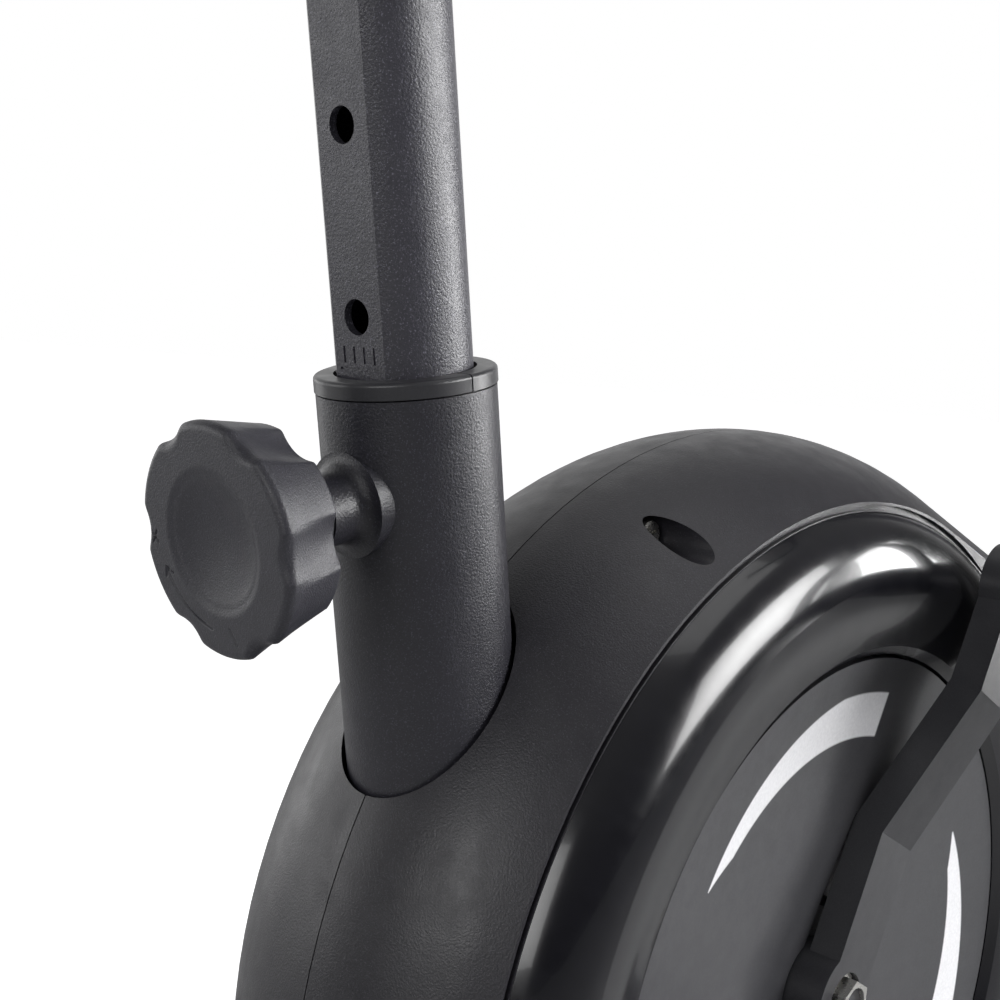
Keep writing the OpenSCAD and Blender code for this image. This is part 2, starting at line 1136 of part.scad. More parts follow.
// Face view of a crank arm along +Y
module arm_face() {
    circle(arm_half + 4.4);
    translate([0, -arm_half])
        square([arm_bend_from, 2 * arm_half]);
    translate([arm_bend_from, 0])
        polygon([
            [-1, -arm_half],
            [crank_len - arm_bend_from, -arm_half + 1.5],
            [crank_len - arm_bend_from, arm_half - 1.5],
            [-1, arm_half]
        ]);
    translate([crank_len, 0])
        circle(eye_r);
}

module crank_arm(side) {
    color("dimgray")
        on_crank(side)
            difference() {
                union() {
                    intersection() {
                        side_plate(arm_in_x - 1, arm_in_x + arm_t + arm_step + 1)
                            arm_face();
                        linear_extrude(80, center = true)
                            arm_edge();
                    }
                    rod_x(arm_half + 4.4, 47, arm_in_x + arm_t);
                    rod_x(20, 44.6, 47);
                    rod_x(hub_flange_r, 44.6, 46.8);
                }
                rod_x(axle_r + 0.02, 40, axle_half + 0.2);
                rod_x(6.1, 40, 100);
                rod_x(10, axle_half + 2, 100);
                translate([0, crank_len, 0])
                    rod_x(pedal_thread_r + 0.02, 60, 100);
            }
}

// Frame of one crank: +Y along its arm, +X outwards
module on_crank(side) {
    at_crank()
        rotate([crank_turn + (side > 0 ? 180 : 0), 0, 0])
            mirrored(side)
                children();
}

module crank_right() {
    crank_arm(-1);
}

module crank_left() {
    crank_arm(1);
}

// Flanged nuts that hold the cranks on the threaded ends of the axle
module crank_nuts() {
    face = axle_half + 2;
    color("silver")
        at_crank()
            for (side = [-1, 1])
                mirrored(side)
                    difference() {
                        union() {
                            rod_x(9.6, face + 0.1, face + 2);
                            translate([face + 2, 0, 0])
                                rotate([0, 90, 0])
                                    cylinder(r = 8.6, h = 6, $fn = 6);
                        }
                        rod_x(6.02, 0, 100);
                    }
}

module crank_axle() {
    color("silver")
        at_crank() {
            rod_x(axle_r, -axle_half, axle_half);
            rod_x(6, -axle_half - 8, axle_half + 8);
        }
}

// ---- pedals ----

pedal_in_x = 88;
pedal_out_x = 184;
pedal_len = 86;
pedal_t = 26;
spindle_r = 5;

module at_pedal(side) {
    at_crank()
        rotate([crank_turn + (side > 0 ? 180 : 0), 0, 0])
            translate([0, crank_len, 0])
                rotate([-crank_turn - (side > 0 ? 180 : 0), 0, 0])
                    mirrored(side)
                        children();
}

module pedal_axles() {
    arm_back = arm_in_x + arm_step;
    arm_front = arm_back + arm_t;
    color("silver")
        for (side = [-1, 1])
            at_pedal(side) {
                rod_x(pedal_thread_r, arm_back + 0.5, arm_front + 1);
                rod_x(9.5, arm_front + fit, pedal_in_x - 3);
                rod_x(spindle_r, pedal_in_x - 4, pedal_out_x - 6);
            }
}

// Pedal body: a rounded cage with a grooved tread above and below
module pedal(side) {
    middle = (pedal_in_x + pedal_out_x) / 2;
    width = pedal_out_x - pedal_in_x;
    color("black")
        at_pedal(side)
            difference() {
                union() {
                    translate([middle, 0, -pedal_t / 2 + 3])
                        linear_extrude(pedal_t - 6)
                            rounded_square([width, pedal_len], 14);
                    translate([middle, 0, -pedal_t / 2])
                        linear_extrude(pedal_t)
                            rounded_square([width - 22, pedal_len - 8], 12);
                }
                rod_x(spindle_r + 0.06, pedal_in_x - 1, pedal_out_x - 5);
                for (y = [-28, 28])
                    translate([middle, y, -20])
                        linear_extrude(40)
                            rounded_square([width - 36, 12], 5);
                for (y = [-14, 14], z = [-1, 1])
                    translate([middle - 33, y - 2, z * (pedal_t / 2 - 0.6) - 1.2])
                        cube([66, 4, 2.4]);
            }
}

module pedal_right() {
    pedal(-1);
}

module pedal_left() {
    pedal(1);
}

strap_rise = 62;
strap_t = 2.4;
strap_w = 24;

// Outline of the space under a toe strap, seen along the bike
module strap_arch(grow) {
    half = (pedal_out_x - pedal_in_x) / 2 + 0.2 + grow;
    shoulder = 34;
    translate([-half, -10])
        square([2 * half, strap_rise - shoulder + 10 + grow]);
    translate([-half + shoulder, 0])
        square([2 * (half - shoulder), strap_rise + grow]);
    for (x = [-half + shoulder, half - shoulder])
        translate([x, strap_rise + grow - shoulder])
            circle(shoulder);
}

module pedal_strap(side) {
    middle = (pedal_in_x + pedal_out_x) / 2;
    color("dimgray")
        at_pedal(side)
            difference() {
                translate([middle, strap_w / 2, 0])
                    rotate([90, 0, 0])
                        linear_extrude(strap_w)
                            intersection() {
                                difference() {
                                    strap_arch(strap_t);
                                    strap_arch(0);
                                }
                                translate([-100, -9])
                                    square([200, 100]);
                            }
                rod_x(spindle_r + 0.5, pedal_in_x - 5, pedal_in_x + 1);
            }
}

module strap_right() {
    pedal_strap(-1);
}

module strap_left() {
    pedal_strap(1);
}

// ---- drive ----

shell_half = 27;
bearing_r = 17.5;
bearing_w = 10;
strut_r = 15;
plate_t = 3;
plate_half = 14;
left_plate = [22, 22 + plate_t];
right_plate = [-42, plate_t - 42];
fly_axle_r = 6;
fly_bearing_r = 14;
pivot_y = -22;
pivot_z = -130;
magnet_gap = 5;
brake_pivot = flywheel_r + 15;
brake_pivot_angle = 135;

// Space inside the belt line round both pulleys, in the side plane and centred on the crank
module belt_track(grow, h) {
    tangent_pair(pulley_r + grow, hub_r + grow, [-fly_dy, -fly_dz], h);
}

// Steel plate from the seat tube to the front tube, past both axles
module long_plate(h) {
    tangent_pair(26, 20, [-fly_dy, -fly_dz], h);
    translate([0, -plate_half, 0])
        cube([collar_dy - 40, 2 * plate_half, h]);
    translate([-front_dy - 20, -fly_dz - plate_half, 0])
        cube([front_dy + 20 - fly_dy, 2 * plate_half, h]);
}

module drive_frame() {
    color("dimgray")
        difference() {
            union() {
                at_crank() {
                    rod_x(22, -shell_half, shell_half);
                    in_side_plane(left_plate[0])
                        long_plate(plate_t);
                    in_side_plane(-left_plate[1]) {
                        cylinder(r = 26, h = plate_t);
                        translate([0, -plate_half, 0])
                            cube([collar_dy - 40, 2 * plate_half, plate_t]);
                    }
                    translate([0, -fly_dy, -fly_dz])
                        in_side_plane(right_plate[0]) {
                            cylinder(r = 18, h = plate_t);
                            translate([fly_dy - front_dy - 10, -plate_half, 0])
                                cube([front_dy + 10 - fly_dy, 2 * plate_half, plate_t]);
                        }
                    translate([right_plate[0], -front_dy - 20, -fly_dz - 14])
                        cube([22, 22, 28]);
                    translate([-8, pivot_y, pivot_z])
                        rod_x(7, -8, 16);
                    translate([-7, pivot_y, pivot_z - 8])
                        cube([14, -pivot_y, 16]);
                }
                translate([0, crank_y, beam_top])
                    cylinder(r = strut_r, h = crank_z - beam_top);
                at_brake_pivot() {
                    rod_x(7, -6, 6);
                    rod_x(4, -11, 11);
                    translate([-6, -40, -6])
                        cube([12, 40, 12]);
                }
            }
            at_crank() {
                rod_x(bearing_r - 2, -40, 40);
                rod_x(bearing_r + 0.02, shell_half - bearing_w, 40);
                rod_x(bearing_r + 0.02, -40, bearing_w - shell_half);
                translate([0, pivot_y, pivot_z])
                    rod_x(4.05, -30, -10);
            }
            at_flywheel()
                rod_x(fly_axle_r + 0.05, -60, 60);
            on_seat_line()
                translate([0, 0, -500])
                    cylinder(r = tube_r + 0.02, h = 560);
            on_front_line()
                translate([0, 0, -20])
                    cylinder(r = front_r + 0.02, h = 500);
        }
}

module bearings() {
    color("silver") {
        at_crank()
            for (side = [-1, 1])
                mirrored(side)
                    difference() {
                        rod_x(bearing_r, shell_half - bearing_w + 0.1, shell_half);
                        rod_x(axle_r + 0.04, 0, 40);
                        ball_groove(13, shell_half);
                    }
        at_flywheel()
            for (x = [fly_in + 0.2, fly_out - 8.2])
                translate([x, 0, 0])
                    difference() {
                        rod_x(fly_bearing_r, 0, 8);
                        rod_x(fly_axle_r + 0.04, -1, 9);
                        ball_groove(10, 8);
                        ball_groove(10, 0);
                    }
    }
}

// Shield line between the races, sunk in a face at the given x
module ball_groove(r, face) {
    depth = 0.6;
    turned_x()
        translate([r - 2.5, face - depth])
            square([5, 2 * depth]);
}

module drive_pulley() {
    x0 = belt_x - 5.5;
    x1 = belt_x + 5.5;
    windows = 6;
    color("black")
        at_crank()
            difference() {
                union() {
                    difference() {
                        rod_x(pulley_r, x0, x1);
                        rod_x(pulley_r - 9, x0 - 1, x1 + 1);
                    }
                    rod_x(pulley_r - 8, belt_x - 2, belt_x + 2);
                    rod_x(24, x0, x1 + 0.5);
                    rod_x(pulley_r + 4, x0, x0 + 1.2);
                }
                rod_x(axle_r + 0.02, -60, 0);
                for (i = [0:windows - 1])
                    rotate([i * 360 / windows, 0, 0])
                        translate([0, 63, 0])
                            rod_x(21, -60, 0);
            }
}

module drive_belt() {
    color("black")
        at_crank()
            in_side_plane(belt_x - belt_w / 2 + 0.6)
                difference() {
                    belt_track(belt_t + 0.1, belt_w);
                    translate([0, 0, -1])
                        belt_track(0.1, belt_w + 2);
                }
}

fly_in = -38;
fly_out = 10;
rim_in = -18;
rim_out = 6;

module flywheel() {
    color("gray")
        at_flywheel()
            difference() {
                union() {
                    rod_x(flywheel_r, rim_in, rim_out);
                    rod_x(24, rim_in - 3, fly_out);
                    rod_x(hub_r, fly_in, rim_in);
                }
                for (x = [rim_in - 1, rim_out - 6])
                    difference() {
                        rod_x(flywheel_r - 16, x, x + 7);
                        rod_x(30, x - 1, x + 8);
                    }
                rod_x(fly_axle_r + 1, -60, 60);
                rod_x(fly_bearing_r + 0.05, fly_out - 8.4, 60);
                rod_x(fly_bearing_r + 0.05, -60, fly_in + 8.4);
            }
}

module flywheel_axle() {
    color("silver")
        at_flywheel() {
            rod_x(fly_axle_r, right_plate[0] - 0.4, left_plate[1] + 10);
            translate([left_plate[1] + 0.2, 0, 0])
                rotate([0, 90, 0])
                    cylinder(r = 9.5, h = 6, $fn = 6);
            rod_x(9, fly_out + 0.5, left_plate[0] - 0.2);
        }
}

// Idler: an arm on a pin in the frame that holds a flanged wheel against the belt's lower run
belt_low = fly_angle + belt_half;
idler_r = 15;
idler_mid = 0.5;
idler_out = belt_t + idler_r + 0.4;
run_len = fly_axis * sin(belt_half);
idler_y = (pulley_r + idler_out) * cos(belt_low) + idler_mid * run_len * cos(belt_low - 90);
idler_z = (pulley_r + idler_out) * sin(belt_low) + idler_mid * run_len * sin(belt_low - 90);
idler_len = norm([idler_y - pivot_y, idler_z - pivot_z]);
idler_angle = atan2(idler_z - pivot_z, idler_y - pivot_y);

module on_idler_arm() {
    at_crank()
        translate([0, pivot_y, pivot_z])
            rotate([idler_angle, 0, 0])
                children();
}

module idler_arm() {
    color("dimgray")
        on_idler_arm()
            difference() {
                union() {
                    in_side_plane(-26)
                        tangent_pair(12, 10, [idler_len, 0], 4);
                    rod_x(4, -24, -11);
                    translate([0, idler_len, 0])
                        rod_x(4, -39, -24);
                }
            }
}

module idler_wheel() {
    color("gray")
        on_idler_arm()
            translate([0, idler_len, 0])
                difference() {
                    union() {
                        rod_x(idler_r, belt_x - 4.5, belt_x + 5);
                        rod_x(8, belt_x - 5, -26.6);
                    }
                    rod_x(4.06, -60, 0);
                }
}

module idler_spring() {
    color("silver")
        on_idler_arm()
            translate([-21.2, 0, 0])
                rotate([0, 90, 0])
                    coil(8.5, 0.7, 1.9, 2);
}

// Brake: a curved arm over the flywheel, hinged at its front end and pulled up by the cable
module at_brake_pivot() {
    at_flywheel()
        rotate([brake_pivot_angle, 0, 0])
            translate([0, brake_pivot, 0])
                rotate([-brake_pivot_angle, 0, 0])
                    children();
}

brake_from = 58;
brake_to = 131;
magnet_in = flywheel_r + magnet_gap;
yoke_in = magnet_in + 6;
yoke_out = yoke_in + 4;

module arc_plate(r_in, r_out, from, to, x0, x1) {
    swept_x(from, to)
        translate([r_in, x0])
            square([r_out - r_in, x1 - x0]);
}

module magnet_bracket() {
    color("dimgray")
        difference() {
            union() {
                at_flywheel() {
                    arc_plate(yoke_in, yoke_out, brake_from, brake_to, -14, 8);
                    rotate([104, 0, 0])
                        translate([-3, yoke_out - 1, -2])
                            cube([6, 12, 4]);
                }
                for (x = [[-10.5, -6.5], [6.5, 10.5]]) {
                    at_brake_pivot()
                        rod_x(8, x[0], x[1]);
                    at_flywheel()
                        arc_plate(yoke_in - 2, yoke_out + 4, brake_to - 3, brake_pivot_angle - 2.4, x[0], x[1]);
                }
            }
            at_brake_pivot()
                rod_x(4.06, -20, 20);
        }
}

module magnets() {
    count = 5;
    step = 13;
    color("silver")
        at_flywheel()
            for (i = [0:count - 1])
                rotate([brake_from + 6 + i * step, 0, 0])
                    translate([-11, magnet_in, -9])
                        cube([16, yoke_in - magnet_in - 0.5, 18]);
}

// ---- front ----

bolt_zs = [330, 375];
cable_z = 268;
post_foot = 280;

module front_tube() {
    color("dimgray")
        difference() {
            intersection() {
                on_front_line()
                    translate([0, 0, -20])
                        cylinder(r = front_r, h = front_len + 20);
                above(beam_top);
            }
            on_front_line() {
                translate([0, 0, -40])
                    cylinder(r = front_r - 3, h = front_len + 60);
                for (z = bolt_zs)
                    translate([0, 0, z])
                        rod_x(4.2, -40, 40);
                translate([0, 0, cable_z])
                    rod_y(6.5, 0, 40);
            }
        }
}

module handlebar_post() {
    color("dimgray")
        on_front_line() {
            difference() {
                translate([0, 0, post_foot])
                    cylinder(r = post_r, h = post_len - post_foot);
                translate([0, 0, post_foot - 1])
                    cylinder(r = post_r - tube_wall, h = post_len - post_foot + 2);
                for (z = bolt_zs)
                    translate([0, 0, z])
                        rod_x(4.2, -40, 40);
                translate([0, 0, knob_z])
                    rod_y(7, 0, 40);
            }
            difference() {
                union() {
                    clamp_half(-1);
                    translate([-22, 15, bar_z - 16])
                        cube([44, bar_gap - 15 - bar_r, 32]);
                }
                cylinder(r = post_r - 0.5, h = post_len + 10);
                translate([0, bar_gap, bar_z])
                    rod_x(bar_r + 0.05, -60, 60);
            }
        }
}

clamp_r = 18;
clamp_w = 56;
ear_drop = 31;

// One half of the bar clamp with its ear: the front half is welded to the post
module clamp_half(side) {
    translate([0, bar_gap, bar_z])
        difference() {
            union() {
                rod_x(clamp_r, -clamp_w / 2, clamp_w / 2);
                translate([-14, -9, -ear_drop - 11])
                    cube([28, 18, ear_drop]);
            }
            rod_x(bar_r + 0.05, -clamp_w, clamp_w);
            translate([-100, side < 0 ? -0.6 : -199.4, -100])
                cube([200, 200, 200]);
            translate([0, 0, -ear_drop])
                rod_y(4.2, -40, 40);
        }
}

module handlebar_clamp() {
    color("dimgray")
        on_front_line()
            clamp_half(1);
}

module clamp_knob() {
    wings = 3;
    color("black")
        on_front_line()
            translate([0, bar_gap, bar_z - ear_drop]) {
                rod_y(4, -14, 14);
                rod_y(10, 9.3, 22);
                translate([0, 20, 0])
                    rotate([-90, 0, 0])
                        for (i = [0:wings - 1])
                            rotate(i * 360 / wings + 90)
                                tangent_pair(13, 7, [17, 0], 14);
            }
}

module post_bolts() {
    head = 3.6;
    color("silver")
        on_front_line()
            for (z = bolt_zs)
                translate([0, 0, z]) {
                    rod_x(4, -front_r - 3, front_r + 3);
                    for (side = [-1, 1])
                        mirrored(side)
                            difference() {
                                union() {
                                    rod_x(7.5, front_r + fit, front_r + head);
                                    rod_x(6, front_r + fit, front_r + head + 1);
                                }
                                translate([front_r + 2, 0, 0])
                                    rotate([0, 90, 0])
                                        cylinder(r = 2.9, h = 10, $fn = 6);
                            }
                }
}

module tension_base() {
    color("black")
        on_front_line()
            translate([0, 0, knob_z])
                difference() {
                    union() {
                        rod_y(28, 12, 33);
                        rod_y(30, 12, 29);
                    }
                    translate([0, 0, -60])
                        cylinder(r = post_r + 0.05, h = 120);
                    rod_y(6.1, 0, 60);
                }
}

module tension_knob() {
    flutes = 12;
    color("black")
        on_front_line()
            translate([0, 0, knob_z]) {
                difference() {
                    union() {
                        rod_y(24, 33.4, 50);
                        rod_y(22, 49, 54);
                    }
                    for (i = [0:flutes - 1])
                        rotate([0, (i + 0.5) * 360 / flutes, 0])
                            translate([25.5, 0, 0])
                                rod_y(3.2, 38, 60);
                }
                rod_y(6, 14, 34);
                translate([-1.6, 48, 6])
                    cube([3.2, 7.5, 15]);
            }
}

// Brake cable: down the post behind its bolts, round a bend and back to the magnet bracket
module brake_cable() {
    cable_r = 2;
    bend_r = 30;
    behind = 9;
    color("black")
        on_front_line() {
            translate([0, behind, cable_z + bend_r])
                cylinder(r = cable_r, h = knob_z - cable_z - bend_r - 10);
            translate([0, behind + bend_r, cable_z + bend_r])
                rotate([0, -90, 0])
                    rotate([0, 0, 180])
                        rotate_extrude(angle = 90)
                            translate([bend_r, 0])
                                circle(cable_r);
            translate([0, 0, cable_z])
                rod_y(cable_r, behind + bend_r, 118);
        }
}

// ---- handlebar ----

bar_rise = 20;
bar_flat = 135;
bar_bend = 60;
bar_arm = 200;
grip_from = 78;
grip_r = 16;

module on_bar() {
    on_front_line()
        translate([0, bar_gap, bar_z])
            rotate([bar_rise, 0, 0])
                children();
}

// The handlebar's path swept with a round of the given radius
module bar_sweep(r, overrun) {
    rod_x(r, -bar_flat, bar_flat);
    for (side = [-1, 1])
        mirrored(side) {
            translate([bar_flat, bar_bend, 0])
                rotate([0, 0, -90])
                    rotate_extrude(angle = 90)
                        translate([bar_bend, 0])
                            circle(r);
            translate([bar_flat + bar_bend, 0, 0])
                rod_y(r, bar_bend, bar_arm + overrun);
        }
}

module handlebar() {
    color("dimgray")
        on_bar()
            difference() {
                bar_sweep(bar_r, 0);
                bar_sweep(bar_r - 1.8, 1);
            }
}

module grips() {
    color("black")
        on_bar()
            for (side = [-1, 1])
                mirrored(side)
                    translate([bar_flat + bar_bend, 0, 0])
                        difference() {
                            union() {
                                rod_y(grip_r, grip_from, bar_arm + 1);
                                rod_y(grip_r - 2.5, bar_arm, bar_arm + 5);
                            }
                            rod_y(bar_r + 0.05, grip_from - 1, bar_arm + 0.3);
                        }
}

// ---- console ----

console_w = 200;
console_h = 130;
console_t = 42;
screen_size = [128, 62];
screen_y = -14;
button_r = 9;
button_y = 42;

// Frame of the console: Z is square to its face, Y runs down the face
module on_console() {
    on_front_line()
        translate([0, 5, post_len + 44])
            rotate([-console_tilt, 0, 0])
                children();
}

module console_body() {
    neck_from = post_len - 30;
    face = console_t / 2;
    color("black")
        difference() {
            union() {
                on_console() {
                    translate([0, 0, -face])
                        linear_extrude(console_t - 8)
                            rounded_square([console_w - 16, console_h - 16], 20);
                    translate([0, 0, face - 22])
                        linear_extrude(18)
                            rounded_square([console_w, console_h], 28);
                    translate([0, 0, face - 4])
                        linear_extrude(4)
                            rounded_square([console_w - 10, console_h - 10], 23);
                }
                on_front_line()
                    translate([0, 0, neck_from])
                        cylinder(r = post_r + 4, h = 50);
            }
            on_front_line()
                translate([0, 0, neck_from - 1])
                    cylinder(r = post_r + 0.1, h = 31.5);
            on_console() {
                translate([0, screen_y, face - 3])
                    linear_extrude(10)
                        rounded_square(screen_size, 6);
                translate([0, button_y, face - 6])
                    cylinder(r = button_r + 0.4, h = 10);
            }
        }
}

module console_screen() {
    color("gray")
        on_console()
            translate([0, screen_y, console_t / 2 - 2.9])
                linear_extrude(2.2)
                    rounded_square(screen_size - [0.6, 0.6], 5.7);
}

module console_button() {
    color("gray")
        on_console()
            translate([0, button_y, console_t / 2 - 3]) {
                cylinder(r = button_r, h = 4.4);
                translate([0, 0, 4.3])
                    cylinder(r = button_r - 1.2, h = 0.7);
            }
}

// ---- drawing ----

base_beam();
rear_stabiliser();
front_stabiliser();
stabiliser_bolts();
rear_leveller_right();
rear_leveller_left();
front_feet();
transport_wheel_right();
transport_wheel_left();
seat_tube();
seat_bush();
seat_post();
saddle_bracket();
saddle_base();
saddle_pad();
saddle_nuts();
adjuster_knob();
adjuster_sleeve();
adjuster_pin();
adjuster_spring();
housing_right();
housing_left();
ring_right();
ring_left();
housing_screws();
drive_frame();
crank_axle();
bearings();
crank_right();
crank_left();
crank_nuts();
disc_right();
disc_left();
drive_pulley();
drive_belt();
flywheel();
flywheel_axle();
idler_arm();
idler_wheel();
idler_spring();
magnet_bracket();
magnets();
brake_cable();
pedal_axles();
pedal_right();
pedal_left();
strap_right();
strap_left();
front_tube();
handlebar_post();
post_bolts();
tension_base();
tension_knob();
handlebar();
grips();
handlebar_clamp();
clamp_knob();
console_body();
console_screen();
console_button();
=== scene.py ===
"""Looks of an upright exercise bike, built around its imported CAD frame. All lengths are in metres."""

import math

import bmesh
import bpy
from mathutils import Matrix, Vector
from mathutils.bvhtree import BVHTree
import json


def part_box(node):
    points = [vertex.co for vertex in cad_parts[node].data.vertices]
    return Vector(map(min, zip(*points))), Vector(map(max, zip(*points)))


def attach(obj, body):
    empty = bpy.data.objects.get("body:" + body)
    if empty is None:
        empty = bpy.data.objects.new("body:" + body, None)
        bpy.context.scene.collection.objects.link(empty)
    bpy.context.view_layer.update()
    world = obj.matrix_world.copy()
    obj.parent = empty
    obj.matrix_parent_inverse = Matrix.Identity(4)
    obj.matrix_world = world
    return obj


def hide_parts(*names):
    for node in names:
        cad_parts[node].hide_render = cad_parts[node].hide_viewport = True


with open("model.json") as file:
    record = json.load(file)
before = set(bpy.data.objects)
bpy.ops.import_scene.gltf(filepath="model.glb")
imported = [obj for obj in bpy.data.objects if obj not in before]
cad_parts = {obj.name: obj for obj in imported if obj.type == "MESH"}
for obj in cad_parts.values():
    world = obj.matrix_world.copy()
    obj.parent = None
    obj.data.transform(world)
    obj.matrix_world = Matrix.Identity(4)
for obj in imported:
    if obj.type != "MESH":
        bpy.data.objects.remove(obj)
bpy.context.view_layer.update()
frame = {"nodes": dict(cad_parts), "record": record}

MM = 0.001

# Places and sizes that the CAD part uses
CRANK_Y = 52.5 * MM
CRANK_Z = 300 * MM
COLLAR = Vector((0, 222.5 * MM, 506.2 * MM))
SEAT_LEAN = math.radians(11.3)
POST_UP = Vector((0, math.sin(SEAT_LEAN), math.cos(SEAT_LEAN)))
KNOB_OUT = Vector((0, math.cos(SEAT_LEAN), -math.sin(SEAT_LEAN)))
KNOB_DROP = 33.2 * MM
SADDLE_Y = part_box("saddle_pad")[0].y + 162 * MM
FRONT_LEAN = math.radians(4)


# ---- materials ----


def new_material(name):
    material = bpy.data.materials.new(name)
    material.use_nodes = True
    return material, material.node_tree


def add(tree, kind, inputs=None, **settings):
    """A new shader node with its settings and inputs. An input is a value or another node's output."""
    node = tree.nodes.new(kind)
    for name, value in settings.items():
        setattr(node, name, value)
    for name, value in (inputs or {}).items():
        if isinstance(value, bpy.types.NodeSocket):
            tree.links.new(value, node.inputs[name])
        else:
            node.inputs[name].default_value = value
    return node


def math_node(tree, operation, *values):
    node = add(tree, "ShaderNodeMath", operation=operation)
    for socket, value in zip(node.inputs, values):
        if isinstance(value, bpy.types.NodeSocket):
            tree.links.new(value, socket)
        else:
            socket.default_value = value
    return node.outputs[0]


def ramp_to(tree, value, low, high, start=0.0, end=1.0):
    """value's span from start to end, spread over low to high."""
    inputs = {"Value": value, "From Min": start, "From Max": end, "To Min": low, "To Max": high}
    return add(tree, "ShaderNodeMapRange", inputs).outputs[0]


def noise(tree, place, scale, detail=2.0, roughness=0.5):
    inputs = {"Vector": place, "Scale": scale, "Detail": detail, "Roughness": roughness}
    return add(tree, "ShaderNodeTexNoise", inputs).outputs["Fac"]


def blend_colours(tree, amount, low, high):
    node = add(tree, "ShaderNodeMix", data_type="RGBA")
    for socket, value in ((node.inputs[0], amount), (node.inputs[6], low), (node.inputs[7], high)):
        if isinstance(value, bpy.types.NodeSocket):
            tree.links.new(value, socket)
        else:
            socket.default_value = value
    return node.outputs[2]


def shade(colour, factor):
    return tuple(min(c * factor, 1.0) for c in colour) + (1.0,)


def surface(
    name,
    colour,
    roughness,
    grain,
    depth,
    spread=0.12,
    metallic=0.0,
    coat=0.0,
    painted_glints=0.0,
    stretch=(1, 1, 1),
    cloud=30,
    rough_spread=0.06,
    specular=0.5,
    sheen=0.0,
):
    """A finish with a fine grain, slow clouding and, where the glint amount is more than 0, bright flecks
    painted into the colour as glints: painted highlights of sparkle off the grain.
    """
    material, tree = new_material(name)
    shader = tree.nodes["Principled BSDF"]
    place = add(tree, "ShaderNodeTexCoord").outputs["Object"]
    drawn = add(tree, "ShaderNodeMapping", {"Vector": place, "Scale": stretch}).outputs[0]
    clouds = noise(tree, place, cloud, 4.0, 0.6)
    fine = noise(tree, drawn, 1 / grain, 2.0, 0.6)
    tone = blend_colours(tree, clouds, shade(colour, 1 - spread), shade(colour, 1 + spread))
    pitted = blend_colours(
        tree, ramp_to(tree, fine, 0, 1, 0.35, 0.65), shade((0.82,) * 3, 1), shade((1.0,) * 3, 1)
    )
    mixed = add(tree, "ShaderNodeMix", data_type="RGBA", blend_type="MULTIPLY")
    mixed.inputs[0].default_value = 1.0
    tree.links.new(tone, mixed.inputs[6])
    tree.links.new(pitted, mixed.inputs[7])
    base = mixed.outputs[2]
    # Painted glints: bright flecks in the base colour, six times its brightness, standing for sparkle of
    # light off the grain.
    if painted_glints:
        glint_flecks = noise(tree, place, 1.6 / grain, 1.0, 0.5)
        base = blend_colours(tree, ramp_to(tree, glint_flecks, 0, painted_glints, 0.6, 0.72), base, shade(colour, 6))
    tree.links.new(base, shader.inputs["Base Color"])
    smudges = noise(tree, place, cloud * 3.7, 3.0, 0.6)
    rough = ramp_to(tree, smudges, max(roughness - rough_spread, 0.02), roughness + rough_spread, 0.3, 0.7)
    tree.links.new(rough, shader.inputs["Roughness"])
    bump = add(tree, "ShaderNodeBump", {"Height": fine, "Distance": depth, "Strength": 1.0})
    tree.links.new(bump.outputs[0], shader.inputs["Normal"])
    shader.inputs["Metallic"].default_value = metallic
    shader.inputs["Coat Weight"].default_value = coat
    shader.inputs["Coat Roughness"].default_value = 0.05
    shader.inputs["Specular IOR Level"].default_value = specular
    shader.inputs["Sheen Weight"].default_value = sheen
    return material


def crescent_disc(name):
    """Gloss grey with three light crescents round the disc, each widening from a thin tip."""
    grey = (0.045, 0.045, 0.050)
    material = surface(name, grey, 0.36, 0.9 * MM, 0.004 * MM, spread=0.1, coat=0.12)
    tree = material.node_tree
    shader = tree.nodes["Principled BSDF"]
    place = add(tree, "ShaderNodeTexCoord").outputs["Object"]
    split = add(tree, "ShaderNodeSeparateXYZ", {"Vector": place})
    side = math_node(tree, "SIGN", math_node(tree, "MULTIPLY", split.outputs[0], -1.0))
    back = math_node(tree, "MULTIPLY", math_node(tree, "SUBTRACT", split.outputs[1], CRANK_Y), side)
    up = math_node(tree, "MULTIPLY", math_node(tree, "SUBTRACT", split.outputs[2], CRANK_Z), side)
    back_squared = math_node(tree, "MULTIPLY", back, back)
    up_squared = math_node(tree, "MULTIPLY", up, up)
    radius = math_node(tree, "SQRT", math_node(tree, "ADD", back_squared, up_squared))
    turn = math_node(tree, "MULTIPLY", math_node(tree, "ARCTAN2", up, back), 180 / math.pi)
    tip, length, pitch = 34.0, 66.0, 120.0
    along = math_node(tree, "FLOORED_MODULO", math_node(tree, "SUBTRACT", turn, tip), pitch)
    inner = ramp_to(tree, along, 96.2 * MM, 91.4 * MM, 0, 9)
    outer = ramp_to(tree, along, 96.6 * MM, 107.5 * MM, 0, 50)
    edge = 0.35 * MM
    past_inner = ramp_to(tree, math_node(tree, "SUBTRACT", radius, inner), 0, 1, -edge, edge)
    before_outer = ramp_to(tree, math_node(tree, "SUBTRACT", outer, radius), 0, 1, -edge, edge)
    within = ramp_to(tree, along, 1, 0, length, length + 0.5)
    mask = math_node(tree, "MULTIPLY", math_node(tree, "MULTIPLY", past_inner, before_outer), within)
    silver = blend_colours(tree, noise(tree, place, 900, 2.0), (0.66, 0.66, 0.68, 1), (0.86, 0.86, 0.88, 1))
    below = shader.inputs["Base Color"].links[0].from_socket
    tree.links.new(blend_colours(tree, mask, below, silver), shader.inputs["Base Color"])
    return material


